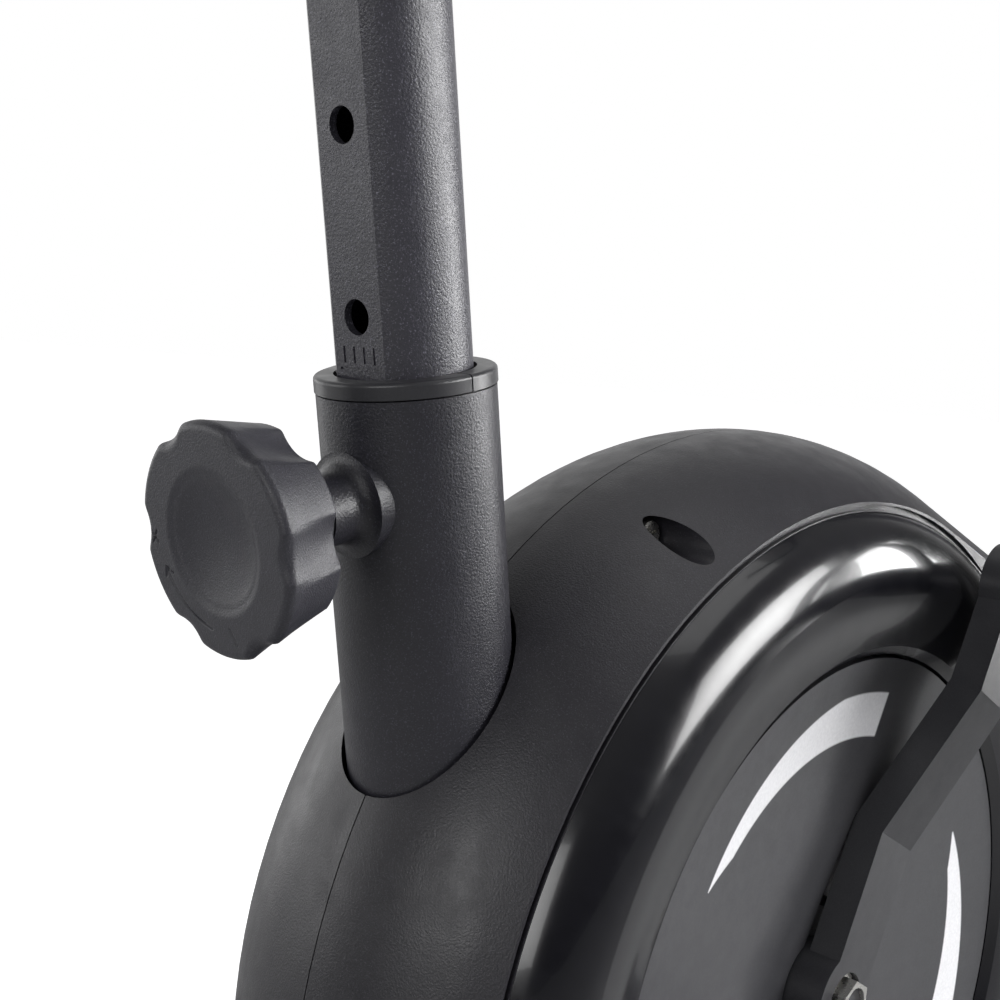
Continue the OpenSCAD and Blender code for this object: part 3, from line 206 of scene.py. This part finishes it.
def embossed_vinyl(name):
    """Black vinyl with a pebbled grain."""
    material = surface(name, (0.022, 0.022, 0.024), 0.42, 0.5 * MM, 0.03 * MM, spread=0.2, cloud=14)
    tree = material.node_tree
    shader = tree.nodes["Principled BSDF"]
    place = add(tree, "ShaderNodeTexCoord").outputs["Object"]
    pebbles = add(
        tree, "ShaderNodeTexVoronoi", {"Vector": place, "Scale": 620.0}, feature="DISTANCE_TO_EDGE"
    ).outputs["Distance"]
    fine_bump = shader.inputs["Normal"].links[0].from_node
    raised = ramp_to(tree, pebbles, 0, 1, 0.0, 0.35)
    inputs = {"Height": raised, "Distance": 0.12 * MM, "Strength": 1.0, "Normal": fine_bump.outputs[0]}
    tree.links.new(add(tree, "ShaderNodeBump", inputs).outputs[0], shader.inputs["Normal"])
    return material


def display(name):
    """A liquid crystal display: pale green-grey with two rows of plain dark windows."""
    material = surface(name, (0.30, 0.34, 0.29), 0.1, 0.6 * MM, 0.001 * MM, coat=0.5)
    tree = material.node_tree
    shader = tree.nodes["Principled BSDF"]
    place = add(tree, "ShaderNodeTexCoord").outputs["Object"]
    inputs = {"Vector": place, "Rotation": (math.radians(-36), 0, 0)}
    flat = add(tree, "ShaderNodeMapping", inputs).outputs[0]
    windows = add(
        tree,
        "ShaderNodeTexBrick",
        {
            "Vector": flat,
            "Color1": (0, 0, 0, 1),
            "Color2": (0, 0, 0, 1),
            "Mortar": (1, 1, 1, 1),
            "Scale": 1.0,
            "Mortar Size": 0.0012,
            "Brick Width": 0.04,
            "Row Height": 0.028,
        },
        offset=0.0,
    ).outputs["Fac"]
    below = shader.inputs["Base Color"].links[0].from_socket
    tree.links.new(blend_colours(tree, windows, below, (0.05, 0.06, 0.05, 1)), shader.inputs["Base Color"])
    return material


def brushed(name, colour, roughness, stretch=(1, 1, 1)):
    return surface(
        name, colour, roughness, 0.25 * MM, 0.006 * MM, spread=0.15, metallic=1.0, stretch=stretch, cloud=60
    )


FINISHES = {
    "frame_paint": surface(
        "matt black powder coat", (0.019, 0.0185, 0.0245), 0.40, 0.7 * MM, 0.16 * MM, painted_glints=0.35
    ),
    "post_paint": surface(
        "charcoal powder coat", (0.040, 0.039, 0.049), 0.38, 0.75 * MM, 0.17 * MM, painted_glints=0.4
    ),
    "crank_paint": surface(
        "satin black paint", (0.026, 0.026, 0.030), 0.38, 0.5 * MM, 0.02 * MM, painted_glints=0.1
    ),
    "fastener_zinc": brushed("bright zinc plate", (0.62, 0.61, 0.58), 0.28),
    "shaft_steel": brushed("black oiled steel", (0.17, 0.17, 0.18), 0.4, (0.1, 1, 1)),
    "spring_steel": brushed("oiled spring steel", (0.30, 0.30, 0.31), 0.3),
    "housing_plastic": surface(
        "matt black moulding", (0.018, 0.0172, 0.0215), 0.40, 0.6 * MM, 0.11 * MM, painted_glints=0.3
    ),
    "bush_plastic": surface("satin black moulding", (0.030, 0.030, 0.034), 0.36, 0.5 * MM, 0.012 * MM),
    "knob_plastic": surface(
        "soft black moulding", (0.028, 0.0275, 0.035), 0.44, 0.5 * MM, 0.14 * MM, painted_glints=0.25
    ),
    "ring_gloss": surface(
        "piano black",
        (0.006, 0.006, 0.0085),
        0.2,
        6 * MM,
        0.01 * MM,
        coat=0.3,
        rough_spread=0.03,
    ),
    "disc_gloss": crescent_disc("gloss grey with crescents"),
    "pulley_plastic": surface("black nylon", (0.03, 0.03, 0.033), 0.5, 0.5 * MM, 0.02 * MM),
    "saddle_cover": embossed_vinyl("embossed vinyl"),
    "grip_foam": surface("dense foam", (0.018, 0.018, 0.019), 0.85, 0.7 * MM, 0.25 * MM, sheen=0.2),
    "strap_rubber": surface("grey rubber", (0.045, 0.045, 0.05), 0.6, 0.5 * MM, 0.03 * MM),
    "belt_rubber": surface("belt rubber", (0.018, 0.018, 0.018), 0.7, 0.6 * MM, 0.05 * MM),
    "wheel_rubber": surface("tyre rubber", (0.05, 0.05, 0.054), 0.62, 0.8 * MM, 0.06 * MM),
    "flywheel_iron": brushed("turned iron", (0.22, 0.22, 0.23), 0.42),
    "bracket_steel": brushed("zinc plated plate", (0.40, 0.39, 0.37), 0.36),
    "screen_glass": display("display"),
    "button_plastic": surface(
        "gloss grey plastic", (0.30, 0.30, 0.31), 0.22, 0.8 * MM, 0.004 * MM, coat=0.4
    ),
}


def paint(piece, slot):
    """Gives a piece, new or from the CAD, the finish of a material slot."""
    piece.data.materials.clear()
    piece.data.materials.append(FINISHES[slot])


for row in frame["record"]["subparts"]:
    node = frame["nodes"][row["node"]]
    for index in range(len(node.data.materials)):
        node.data.materials[index] = FINISHES[row["material_slot"]]


# ---- helpers for new pieces ----


def new_piece(name, mesh, body, slot):
    piece = bpy.data.objects.new(name, mesh)
    bpy.context.scene.collection.objects.link(piece)
    paint(piece, slot)
    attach(piece, body)
    return piece


def mesh_from(name, points, faces):
    mesh = bpy.data.meshes.new(name)
    mesh.from_pydata([tuple(p) for p in points], [], faces)
    mesh.validate()
    mesh.shade_smooth()
    return mesh


def rings_to_faces(ring_count, ring_size, start=0):
    """Quads that join neighbouring closed rings of points."""
    faces = []
    for i in range(ring_count - 1):
        for j in range(ring_size):
            nearer = start + i * ring_size
            k = (j + 1) % ring_size
            faces.append((nearer + j, nearer + k, nearer + ring_size + k, nearer + ring_size + j))
    return faces


def tube_mesh(name, path, radius, sides=8, closed=True):
    """A tube along a path of points, with its ends filled if it is open."""
    count = len(path)
    points = []
    side = None
    for i, at in enumerate(path):
        ahead = path[(i + 1) % count] if closed or i < count - 1 else at
        behind = path[i - 1] if closed or i > 0 else at
        along = (ahead - behind).normalized()
        start = side if side is not None else along.orthogonal()
        side = (start - along * start.dot(along)).normalized()
        other = along.cross(side)
        for j in range(sides):
            turn = 2 * math.pi * j / sides
            points.append(at + radius * (math.cos(turn) * side + math.sin(turn) * other))
    faces = rings_to_faces(count, sides)
    last = (count - 1) * sides
    if closed:
        offset = min(range(sides), key=lambda k: (points[last] - points[k]).length)
        for j in range(sides):
            k = (j + 1) % sides
            faces.append((last + j, last + k, (offset + k) % sides, (offset + j) % sides))
    else:
        faces.append(tuple(reversed(range(sides))))
        faces.append(tuple(last + j for j in range(sides)))
    return mesh_from(name, points, faces)


# ---- locking knob ----

KNOB_R = 31 * MM
KNOB_FACE = 69.5 * MM
KNOB_LEN = 20 * MM
KNOB_DRAFT = 3.8 * MM
KNOB_LOBES = 6
KNOB_CENTRE = COLLAR - KNOB_DROP * POST_UP
SLEEVE_HOLE_R = 9.5 * MM
SLEEVE_HOLE_END = 58 * MM


FACE_SCALLOP = 1.7 * MM
BACK_SCALLOP = 3.0 * MM


def lobed_radius(turn, depth, scallop=17 * MM, soft=0.7 * MM):
    """Distance from the axis to the knob's outline: a circle with a scallop at every sixth of a turn."""
    pitch = 2 * math.pi / KNOB_LOBES
    off = (turn + pitch / 2) % pitch - pitch / 2
    centre = KNOB_R + scallop - depth
    inside = scallop**2 - (centre * math.sin(off)) ** 2
    if inside <= 0:
        return KNOB_R
    cut = centre * math.cos(off) - math.sqrt(inside)
    near = max(soft - abs(KNOB_R - cut), 0) / soft
    return min(KNOB_R, cut) - near * near * soft / 4


def mark_depth(turn, radius):
    """How deep the knob's face is engraved: a cross, a turning arc with an arrow head, and a stroke."""

    def stroke(from_turn, from_r, to_turn, to_r):
        """Distance from the point to a straight stroke between two places on the face."""
        a = Vector((math.cos(math.radians(from_turn)), math.sin(math.radians(from_turn)))) * from_r * MM
        b = Vector((math.cos(math.radians(to_turn)), math.sin(math.radians(to_turn)))) * to_r * MM
        p = Vector((math.cos(turn), math.sin(turn))) * radius
        share = min(max((p - a).dot(b - a) / (b - a).length_squared, 0), 1)
        return (a + share * (b - a) - p).length

    degrees = math.degrees(turn) % 360
    gaps = [
        stroke(1, 24.4, 8, 26.8),
        stroke(8, 24.2, 1, 27.0),
        stroke(100, 22.6, 104, 26.6),
        stroke(24, 23.6, 29, 25.2),
        stroke(24, 23.6, 30, 21.8),
    ]
    if 24 < degrees < 82:
        gaps.append(abs(radius - 23.6 * MM))
    gap = min(gaps)
    half_width = 0.36 * MM
    return 0.9 * MM * max(0, 1 - (gap / half_width) ** 2)


def knob_profile(turn):
    """Points of the knob's section at one turn, from the middle of its face to the end of its hole."""
    outline = lobed_radius(turn, FACE_SCALLOP)
    back_outline = lobed_radius(turn, BACK_SCALLOP) - KNOB_DRAFT
    notch = (KNOB_R - outline) / FACE_SCALLOP
    front_round = (2.4 + 0.8 * notch) * MM
    back_round = 1.2 * MM
    dish_r = 18.2 * MM
    dish_depth = 4.2 * MM
    lip = 1.6 * MM
    section = []
    for i in range(19):
        r = (dish_r - lip) * i / 18
        section.append((r, -dish_depth * (1 - (r / dish_r) ** 2) ** 0.9))
    low = section[-1][1]
    for i in range(1, 7):
        share = i / 6
        smooth = share * share * (3 - 2 * share)
        section.append((dish_r - lip + 2 * lip * share, low * (1 - smooth)))
    first = dish_r + lip
    last = outline - front_round
    for i in range(1, 31):
        r = first + (last - first) * i / 30
        section.append((r, -mark_depth(turn, r)))
    for i in range(1, 9):
        a = math.pi / 2 * i / 8
        r = last + front_round * math.sin(a)
        section.append((r, -front_round * (1 - math.cos(a)) - mark_depth(turn, r) * math.cos(a)))
    side_from = -front_round
    side_to = -KNOB_LEN + back_round
    for i in range(1, 9):
        share = i / 8
        r = outline + (back_outline - outline) * share
        section.append((r, side_from + (side_to - side_from) * share))
    for i in range(1, 6):
        a = math.pi / 2 * i / 5
        inner = back_outline - back_round
        section.append((inner + back_round * math.cos(a), side_to - back_round * math.sin(a)))
    section.append((SLEEVE_HOLE_R + 1.5 * MM, -KNOB_LEN))
    section.append((SLEEVE_HOLE_R, -KNOB_LEN + 0.8 * MM))
    section.append((SLEEVE_HOLE_R, SLEEVE_HOLE_END - KNOB_FACE))
    return section


def locking_knob():
    turns = 600
    across = Vector((1, 0, 0))
    down = -POST_UP
    sections = [knob_profile(2 * math.pi * j / turns) for j in range(turns)]
    ring_count = len(sections[0])
    face_centre = KNOB_CENTRE + KNOB_FACE * KNOB_OUT
    points = [face_centre + sections[0][0][1] * KNOB_OUT]
    for i in range(1, ring_count):
        for j in range(turns):
            radius, rise = sections[j][i]
            turn = 2 * math.pi * j / turns
            spoke = math.cos(turn) * across + math.sin(turn) * down
            points.append(face_centre + radius * spoke + rise * KNOB_OUT)
    faces = [(0, 1 + (j + 1) % turns, 1 + j) for j in range(turns)]
    faces += [tuple(reversed(f)) for f in rings_to_faces(ring_count - 1, turns, 1)]
    points.append(KNOB_CENTRE + SLEEVE_HOLE_END * KNOB_OUT)
    last = 1 + (ring_count - 2) * turns
    faces += [(last + j, last + (j + 1) % turns, len(points) - 1) for j in range(turns)]
    mesh = mesh_from("locking_knob", points, faces)
    outward(mesh)
    knob = new_piece("locking_knob", mesh, "lock_knob", "knob_plastic")
    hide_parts("adjuster_knob")


def outward(mesh):
    """Turns every face of a closed mesh to look outwards."""
    work = bmesh.new()
    work.from_mesh(mesh)
    bmesh.ops.recalc_face_normals(work, faces=work.faces)
    work.to_mesh(mesh)
    work.free()


locking_knob()


# ---- saddle ----


def applied(piece):
    """The piece's mesh with its modifiers applied, as a new mesh."""
    graph = bpy.context.evaluated_depsgraph_get()
    return bpy.data.meshes.new_from_object(piece.evaluated_get(graph))


def apply_modifiers(piece):
    mesh = applied(piece)
    piece.modifiers.clear()
    piece.data = mesh


def relax(mesh, rounds):
    """Evens out a mesh by moving each point towards its neighbours."""
    work = bmesh.new()
    work.from_mesh(mesh)
    for _ in range(rounds):
        bmesh.ops.smooth_vert(
            work, verts=work.verts, factor=0.5, use_axis_x=True, use_axis_y=True, use_axis_z=True
        )
    work.to_mesh(mesh)
    work.free()


def inflate(piece, pressure, cap):
    """Swells a closed mesh by cloth simulation, moving no point further than cap."""
    start = [v.co.copy() for v in piece.data.vertices]
    cloth = piece.modifiers.new("swell", "CLOTH")
    cloth.settings.quality = 6
    cloth.settings.mass = 0.3
    cloth.settings.tension_stiffness = 20
    cloth.settings.compression_stiffness = 20
    cloth.settings.bending_stiffness = 2
    cloth.settings.use_pressure = True
    cloth.settings.uniform_pressure_force = pressure
    cloth.settings.effector_weights.gravity = 0
    cloth.point_cache.frame_start = 1
    cloth.point_cache.frame_end = 20
    scene = bpy.context.scene
    for step in range(1, 21):
        scene.frame_set(step)
    swollen = applied(piece)
    piece.modifiers.clear()
    scene.frame_set(1)
    for vertex, moved, first in zip(piece.data.vertices, swollen.vertices, start):
        shift = moved.co - first
        if shift.length > cap:
            shift *= cap / shift.length
        vertex.co = first + shift


def saddle_cushion():
    low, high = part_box("saddle_pad")
    pad = bpy.data.objects.new("saddle_cushion", frame["nodes"]["saddle_pad"].data.copy())
    bpy.context.scene.collection.objects.link(pad)
    centre = (low + high) / 2
    for vertex in pad.data.vertices:
        vertex.co.x *= 0.955
        vertex.co.y = centre.y + (vertex.co.y - centre.y) * 0.97
        vertex.co.z = low.z + (vertex.co.z - low.z) * 0.93
    remesh = pad.modifiers.new("even", "REMESH")
    remesh.mode = "VOXEL"
    remesh.voxel_size = 5 * MM
    apply_modifiers(pad)
    relax(pad.data, 14)
    inflate(pad, 4.0, 9 * MM)
    shape_saddle(pad.data, low, high)
    relax(pad.data, 2)
    square_foot(pad.data, low)
    subdivide = pad.modifiers.new("fine", "SUBSURF")
    subdivide.levels = 1
    subdivide.render_levels = 1
    apply_modifiers(pad)
    for vertex in pad.data.vertices:
        vertex.co.z = max(vertex.co.z, low.z)
    pad.data.shade_smooth()
    paint(pad, "saddle_cover")
    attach(pad, "seat")
    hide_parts("saddle_pad")
    return pad


def shape_saddle(mesh, low, high):
    """Presses the relief channel down the middle and the hollow between nose and rear into the top."""
    height = high.z - low.z
    for vertex in mesh.vertices:
        x, y = vertex.co.x, vertex.co.y - SADDLE_Y
        upper = min(max((vertex.co.z - low.z) / height * 2 - 0.8, 0), 1)
        past_front = min(max((y + 130 * MM) / (50 * MM), 0), 1)
        before_rear = min(max((100 * MM - y) / (50 * MM), 0), 1)
        along = past_front * before_rear
        channel = 9 * MM * math.exp(-((x / (13 * MM)) ** 2)) * along
        hollow = 6 * MM * math.exp(-(((y + 20 * MM) / (60 * MM)) ** 2))
        vertex.co.z -= upper * (channel + hollow)


def square_foot(mesh, low):
    """Carries the cover's side straight down to the base, where smoothing has rounded it away."""
    foot = 20 * MM
    middle = Vector((0, SADDLE_Y + 10 * MM, low.z + foot))
    points = [vertex.co.copy() for vertex in mesh.vertices]
    tree = BVHTree.FromPolygons(points, [tuple(face.vertices) for face in mesh.polygons])
    for vertex in mesh.vertices:
        spoke = Vector((vertex.co.x - middle.x, vertex.co.y - middle.y, 0))
        if vertex.co.z > middle.z or spoke.length < foot:
            continue
        hit = tree.ray_cast(middle + spoke.normalized(), -spoke)[0]
        full = (hit - middle).length
        share = spoke.length / full
        pull = min(max((share - 0.72) / 0.16, 0), 1)
        reach = share + max(0.985 - share, 0) * pull * pull * (3 - 2 * pull)
        vertex.co.x = middle.x + spoke.x * reach / share
        vertex.co.y = middle.y + spoke.y * reach / share


def outline_points(tree, height, count=220):
    """Points round the saddle at one height, where level rays from outside meet it."""
    middle = Vector((0, SADDLE_Y + 10 * MM, height))
    points = []
    for i in range(count):
        turn = 2 * math.pi * i / count
        away = Vector((math.cos(turn), math.sin(turn), 0))
        hit = tree.ray_cast(middle + away, -away)[0]
        if hit is not None:
            points.append(hit)
    return evened(points, count)


def evened(points, count):
    """The same closed path with points at even spacing."""
    closed = points + [points[0]]
    lengths = [0.0]
    for a, b in zip(closed, closed[1:]):
        lengths.append(lengths[-1] + (b - a).length)
    result = []
    segment = 0
    for i in range(count):
        target = lengths[-1] * i / count
        while lengths[segment + 1] < target:
            segment += 1
        a, b = closed[segment], closed[segment + 1]
        share = (target - lengths[segment]) / max(lengths[segment + 1] - lengths[segment], 1e-9)
        result.append(a.lerp(b, share))
    return result


def inset_path(points, inset):
    """A closed path moved inwards on the level."""
    result = []
    count = len(points)
    for i, at in enumerate(points):
        along = (points[(i + 1) % count] - points[i - 1]).normalized()
        result.append(at + inset * Vector((-along.y, along.x, 0)))
    return result


def stitches(name, path, normals, length, gap, radius, body):
    """A row of short threads that lie along a path, each dipping into the cover at both ends."""
    points, faces = [], []
    pitch = length + gap
    total = sum((b - a).length for a, b in zip(path, path[1:]))
    step = total / len(path)
    stride = max(int(round(pitch / step)), 1)
    reach = max(int(round(length / step)), 1)
    for start in range(0, len(path) - reach, stride):
        first, last = path[start], path[start + reach]
        up = normals[start]
        along = (last - first).normalized()
        side = along.cross(up).normalized()
        base = len(points)
        rows, sides = 7, 6
        for i in range(rows):
            share = i / (rows - 1)
            width = radius * max(math.sin(math.pi * share), 0.15) ** 0.5
            lift = radius * (1.5 * math.sin(math.pi * share) - 0.5)
            at = first.lerp(last, share) + lift * up
            for j in range(sides):
                turn = 2 * math.pi * j / sides
                points.append(at + width * (math.cos(turn) * side + math.sin(turn) * up))
        faces += rings_to_faces(rows, sides, base)
        faces.append(tuple(base + j for j in reversed(range(sides))))
        faces.append(tuple(base + (rows - 1) * sides + j for j in range(sides)))
    mesh = mesh_from(name, points, faces)
    outward(mesh)
    return new_piece(name, mesh, body, "strap_rubber")


def saddle_trim(pad):
    """Piping round the saddle's foot and a row of stitches round its top."""
    low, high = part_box("saddle_pad")
    tree = BVHTree.FromObject(pad, bpy.context.evaluated_depsgraph_get())
    piping = outline_points(tree, low.z + 5 * MM)
    mesh = tube_mesh("saddle_piping", piping, 1.9 * MM, 10)
    outward(mesh)
    new_piece("saddle_piping", mesh, "seat", "saddle_cover")
    plan = inset_path(evened(outline_points(tree, low.z + 22 * MM), 900), 21 * MM)
    path, normals = [], []
    for at in plan:
        hit, normal = tree.ray_cast(Vector((at.x, at.y, high.z + 0.1)), Vector((0, 0, -1)))[:2]
        if hit is not None:
            path.append(hit)
            normals.append(normal)
    stitches("saddle_stitches", path, normals, 4.2 * MM, 2 * MM, 0.55 * MM, "seat")


cushion = saddle_cushion()
saddle_trim(cushion)


# ---- foam grips ----


FRONT_FOOT = Vector((0, -257.5 * MM, 103.2 * MM))
BAR_AT = Vector((0, 44 * MM, 905 * MM))
BAR_RISE = math.radians(20)
BAR_X = 195 * MM
BAR_HOLE_R = 12.75 * MM
BAR_END = 199.9 * MM
GRIP_R = 16 * MM
GRIP_FROM = 78 * MM
GRIP_TO = 205 * MM
GRIP_SIDES = 64


def grip_section():
    """Radius and place along the bar: a rounded collar, ten ribs and a rounded outer end."""
    lip = 1.4 * MM
    end_round = 4.6 * MM
    ribs = 10
    section = [(BAR_HOLE_R, GRIP_FROM + 0.4 * MM)]
    for i in range(9):
        a = math.pi * i / 8
        section.append((GRIP_R - lip + lip * math.sin(a), GRIP_FROM + lip * (1 - math.cos(a))))
    for i in range(1, 33):
        share = i / 32
        ridge = 0.35 * MM * math.cos(share * ribs * 2 * math.pi)
        along = GRIP_FROM + 4 * MM + (GRIP_TO - 9 * MM - GRIP_FROM) * share
        section.append((GRIP_R - 1.1 * MM - ridge, along))
    for i in range(1, 9):
        a = math.pi / 2 * i / 8
        radius = GRIP_R - lip - end_round * (1 - math.cos(a))
        section.append((radius, GRIP_TO - 5 * MM + end_round * math.sin(a)))
    return section


def foam_grips():
    """Two foam sleeves, each with a blind hole for the bar."""
    bar_middle = FRONT_FOOT + Matrix.Rotation(FRONT_LEAN, 3, "X") @ BAR_AT
    rise = Matrix.Rotation(FRONT_LEAN + BAR_RISE, 3, "X")
    section = grip_section()
    points, faces = [], []

    def at(side, radius, along, turn=0.0):
        local = Vector((side * BAR_X + radius * math.cos(turn), along, radius * math.sin(turn)))
        return bar_middle + rise @ local

    def ring(side, radius, along):
        turns = [2 * math.pi * j / GRIP_SIDES for j in range(GRIP_SIDES)]
        points.extend(at(side, radius, along, turn) for turn in turns)

    for side in (-1, 1):
        base = len(points)
        for radius, along in section:
            ring(side, radius, along)
        faces += rings_to_faces(len(section), GRIP_SIDES, base)
        last = base + (len(section) - 1) * GRIP_SIDES
        end = len(points)
        points.append(at(side, 0, GRIP_TO - 0.2 * MM))
        hole_end = len(points)
        ring(side, BAR_HOLE_R, BAR_END)
        hub = len(points)
        points.append(at(side, 0, BAR_END))
        for j in range(GRIP_SIDES):
            k = (j + 1) % GRIP_SIDES
            faces.append((last + j, last + k, end))
            faces.append((base + k, base + j, hole_end + j, hole_end + k))
            faces.append((hole_end + k, hole_end + j, hub))
    mesh = mesh_from("foam_grips", points, faces)
    outward(mesh)
    grips = new_piece("foam_grips", mesh, "bars", "grip_foam")
    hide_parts("grips")


foam_grips()


# ---- floor, light and camera ----


def floor():
    bpy.ops.mesh.primitive_circle_add(vertices=96, radius=30, fill_type="NGON", location=(0, 0, -0.0005))
    ground = bpy.context.object
    ground.name = "studio_floor"
    material, tree = new_material("pale studio floor")
    shader = tree.nodes["Principled BSDF"]
    place = add(tree, "ShaderNodeTexCoord").outputs["Object"]
    tone = blend_colours(tree, noise(tree, place, 3.0), (0.50, 0.50, 0.505, 1), (0.54, 0.54, 0.545, 1))
    tree.links.new(tone, shader.inputs["Base Color"])
    shader.inputs["Roughness"].default_value = 0.6
    shader.inputs["Emission Color"].default_value = (1, 1, 1, 1)
    camera_ray = add(tree, "ShaderNodeLightPath").outputs["Is Camera Ray"]
    tree.links.new(ramp_to(tree, camera_ray, 0.05, 0.85), shader.inputs["Emission Strength"])
    ground.data.materials.append(material)


def softbox(name, at, target, size, power, spread=180):
    light = bpy.data.lights.new(name, "AREA")
    light.shape = "RECTANGLE"
    light.size, light.size_y = size
    light.energy = power
    light.spread = math.radians(spread)
    lamp = bpy.data.objects.new(name, light)
    bpy.context.scene.collection.objects.link(lamp)
    lamp.location = at
    lamp.rotation_mode = "QUATERNION"
    lamp.rotation_quaternion = (Vector(target) - Vector(at)).to_track_quat("-Z", "Y")


def surroundings():
    """White to the camera. To the surfaces, a dim room with one bright wall at the bike's left and front."""
    world = bpy.data.worlds.new("studio")
    bpy.context.scene.world = world
    world.use_nodes = True
    tree = world.node_tree
    tree.nodes.clear()
    seen = add(tree, "ShaderNodeBackground", {"Color": (1, 1, 1, 1), "Strength": 1.0})
    looking = add(tree, "ShaderNodeTexCoord").outputs["Generated"]
    facing = {0: looking, 1: (0.85, -0.52, 0.0)}
    wall = add(tree, "ShaderNodeVectorMath", facing, operation="DOT_PRODUCT")
    wall_light = ramp_to(tree, wall.outputs["Value"], 0.0, 0.75, 0.45, 0.85)
    height = add(tree, "ShaderNodeSeparateXYZ", {"Vector": looking}).outputs[2]
    level = math_node(tree, "ADD", wall_light, ramp_to(tree, height, 0.025, 0.25, 0.0, 0.9))
    felt = add(tree, "ShaderNodeBackground", {"Color": (1, 1, 1, 1), "Strength": level})
    camera_ray = add(tree, "ShaderNodeLightPath").outputs["Is Camera Ray"]
    both = add(tree, "ShaderNodeMixShader", {0: camera_ray, 1: felt.outputs[0], 2: seen.outputs[0]})
    output = add(tree, "ShaderNodeOutputWorld")
    tree.links.new(both.outputs[0], output.inputs["Surface"])


def camera():
    """The photograph's view: close, from behind the rider's right side."""
    right = Vector((-0.72497271, -0.68396006, 0.08132164))
    up = Vector((0.12645570, -0.01611023, 0.99184143))
    back = right.cross(up)
    data = bpy.data.cameras.new("view")
    data.lens = 52.7547
    data.sensor_width = 36
    data.clip_start = 0.01
    viewer = bpy.data.objects.new("view", data)
    bpy.context.scene.collection.objects.link(viewer)
    viewer.matrix_world = Matrix.Translation((-0.29952, 0.50230, 0.51262)) @ Matrix(
        (right, up, back)
    ).transposed().to_4x4()
    bpy.context.scene.camera = viewer


floor()
surroundings()
camera()
softbox("back_left", (2.0, 1.9, 0.8), (0, 0.2, 0.5), (1.2, 1.4), 4.1, 90)
softbox("behind", (-0.7, 2.6, 1.2), (0, 0.2, 0.4), (1.4, 1.2), 6.2, 90)
softbox("front_right", (-1.22, -0.62, 0.95), (-0.06, 0.15, 0.42), (0.95, 0.7), 4.6, 70)
softbox("front_rim", (-1.0, -1.9, 0.75), (0, 0.2, 0.5), (0.6, 1.2), 4.6, 60)
softbox("overhead", (-0.2, 0.0, 2.4), (0, 0.1, 0.5), (1.2, 1.8), 8.5)
softbox("side_left", (2.2, 0.3, 0.5), (0, 0.2, 0.4), (0.8, 1.2), 1.6, 90)
bpy.context.scene.view_settings.view_transform = "Standard"
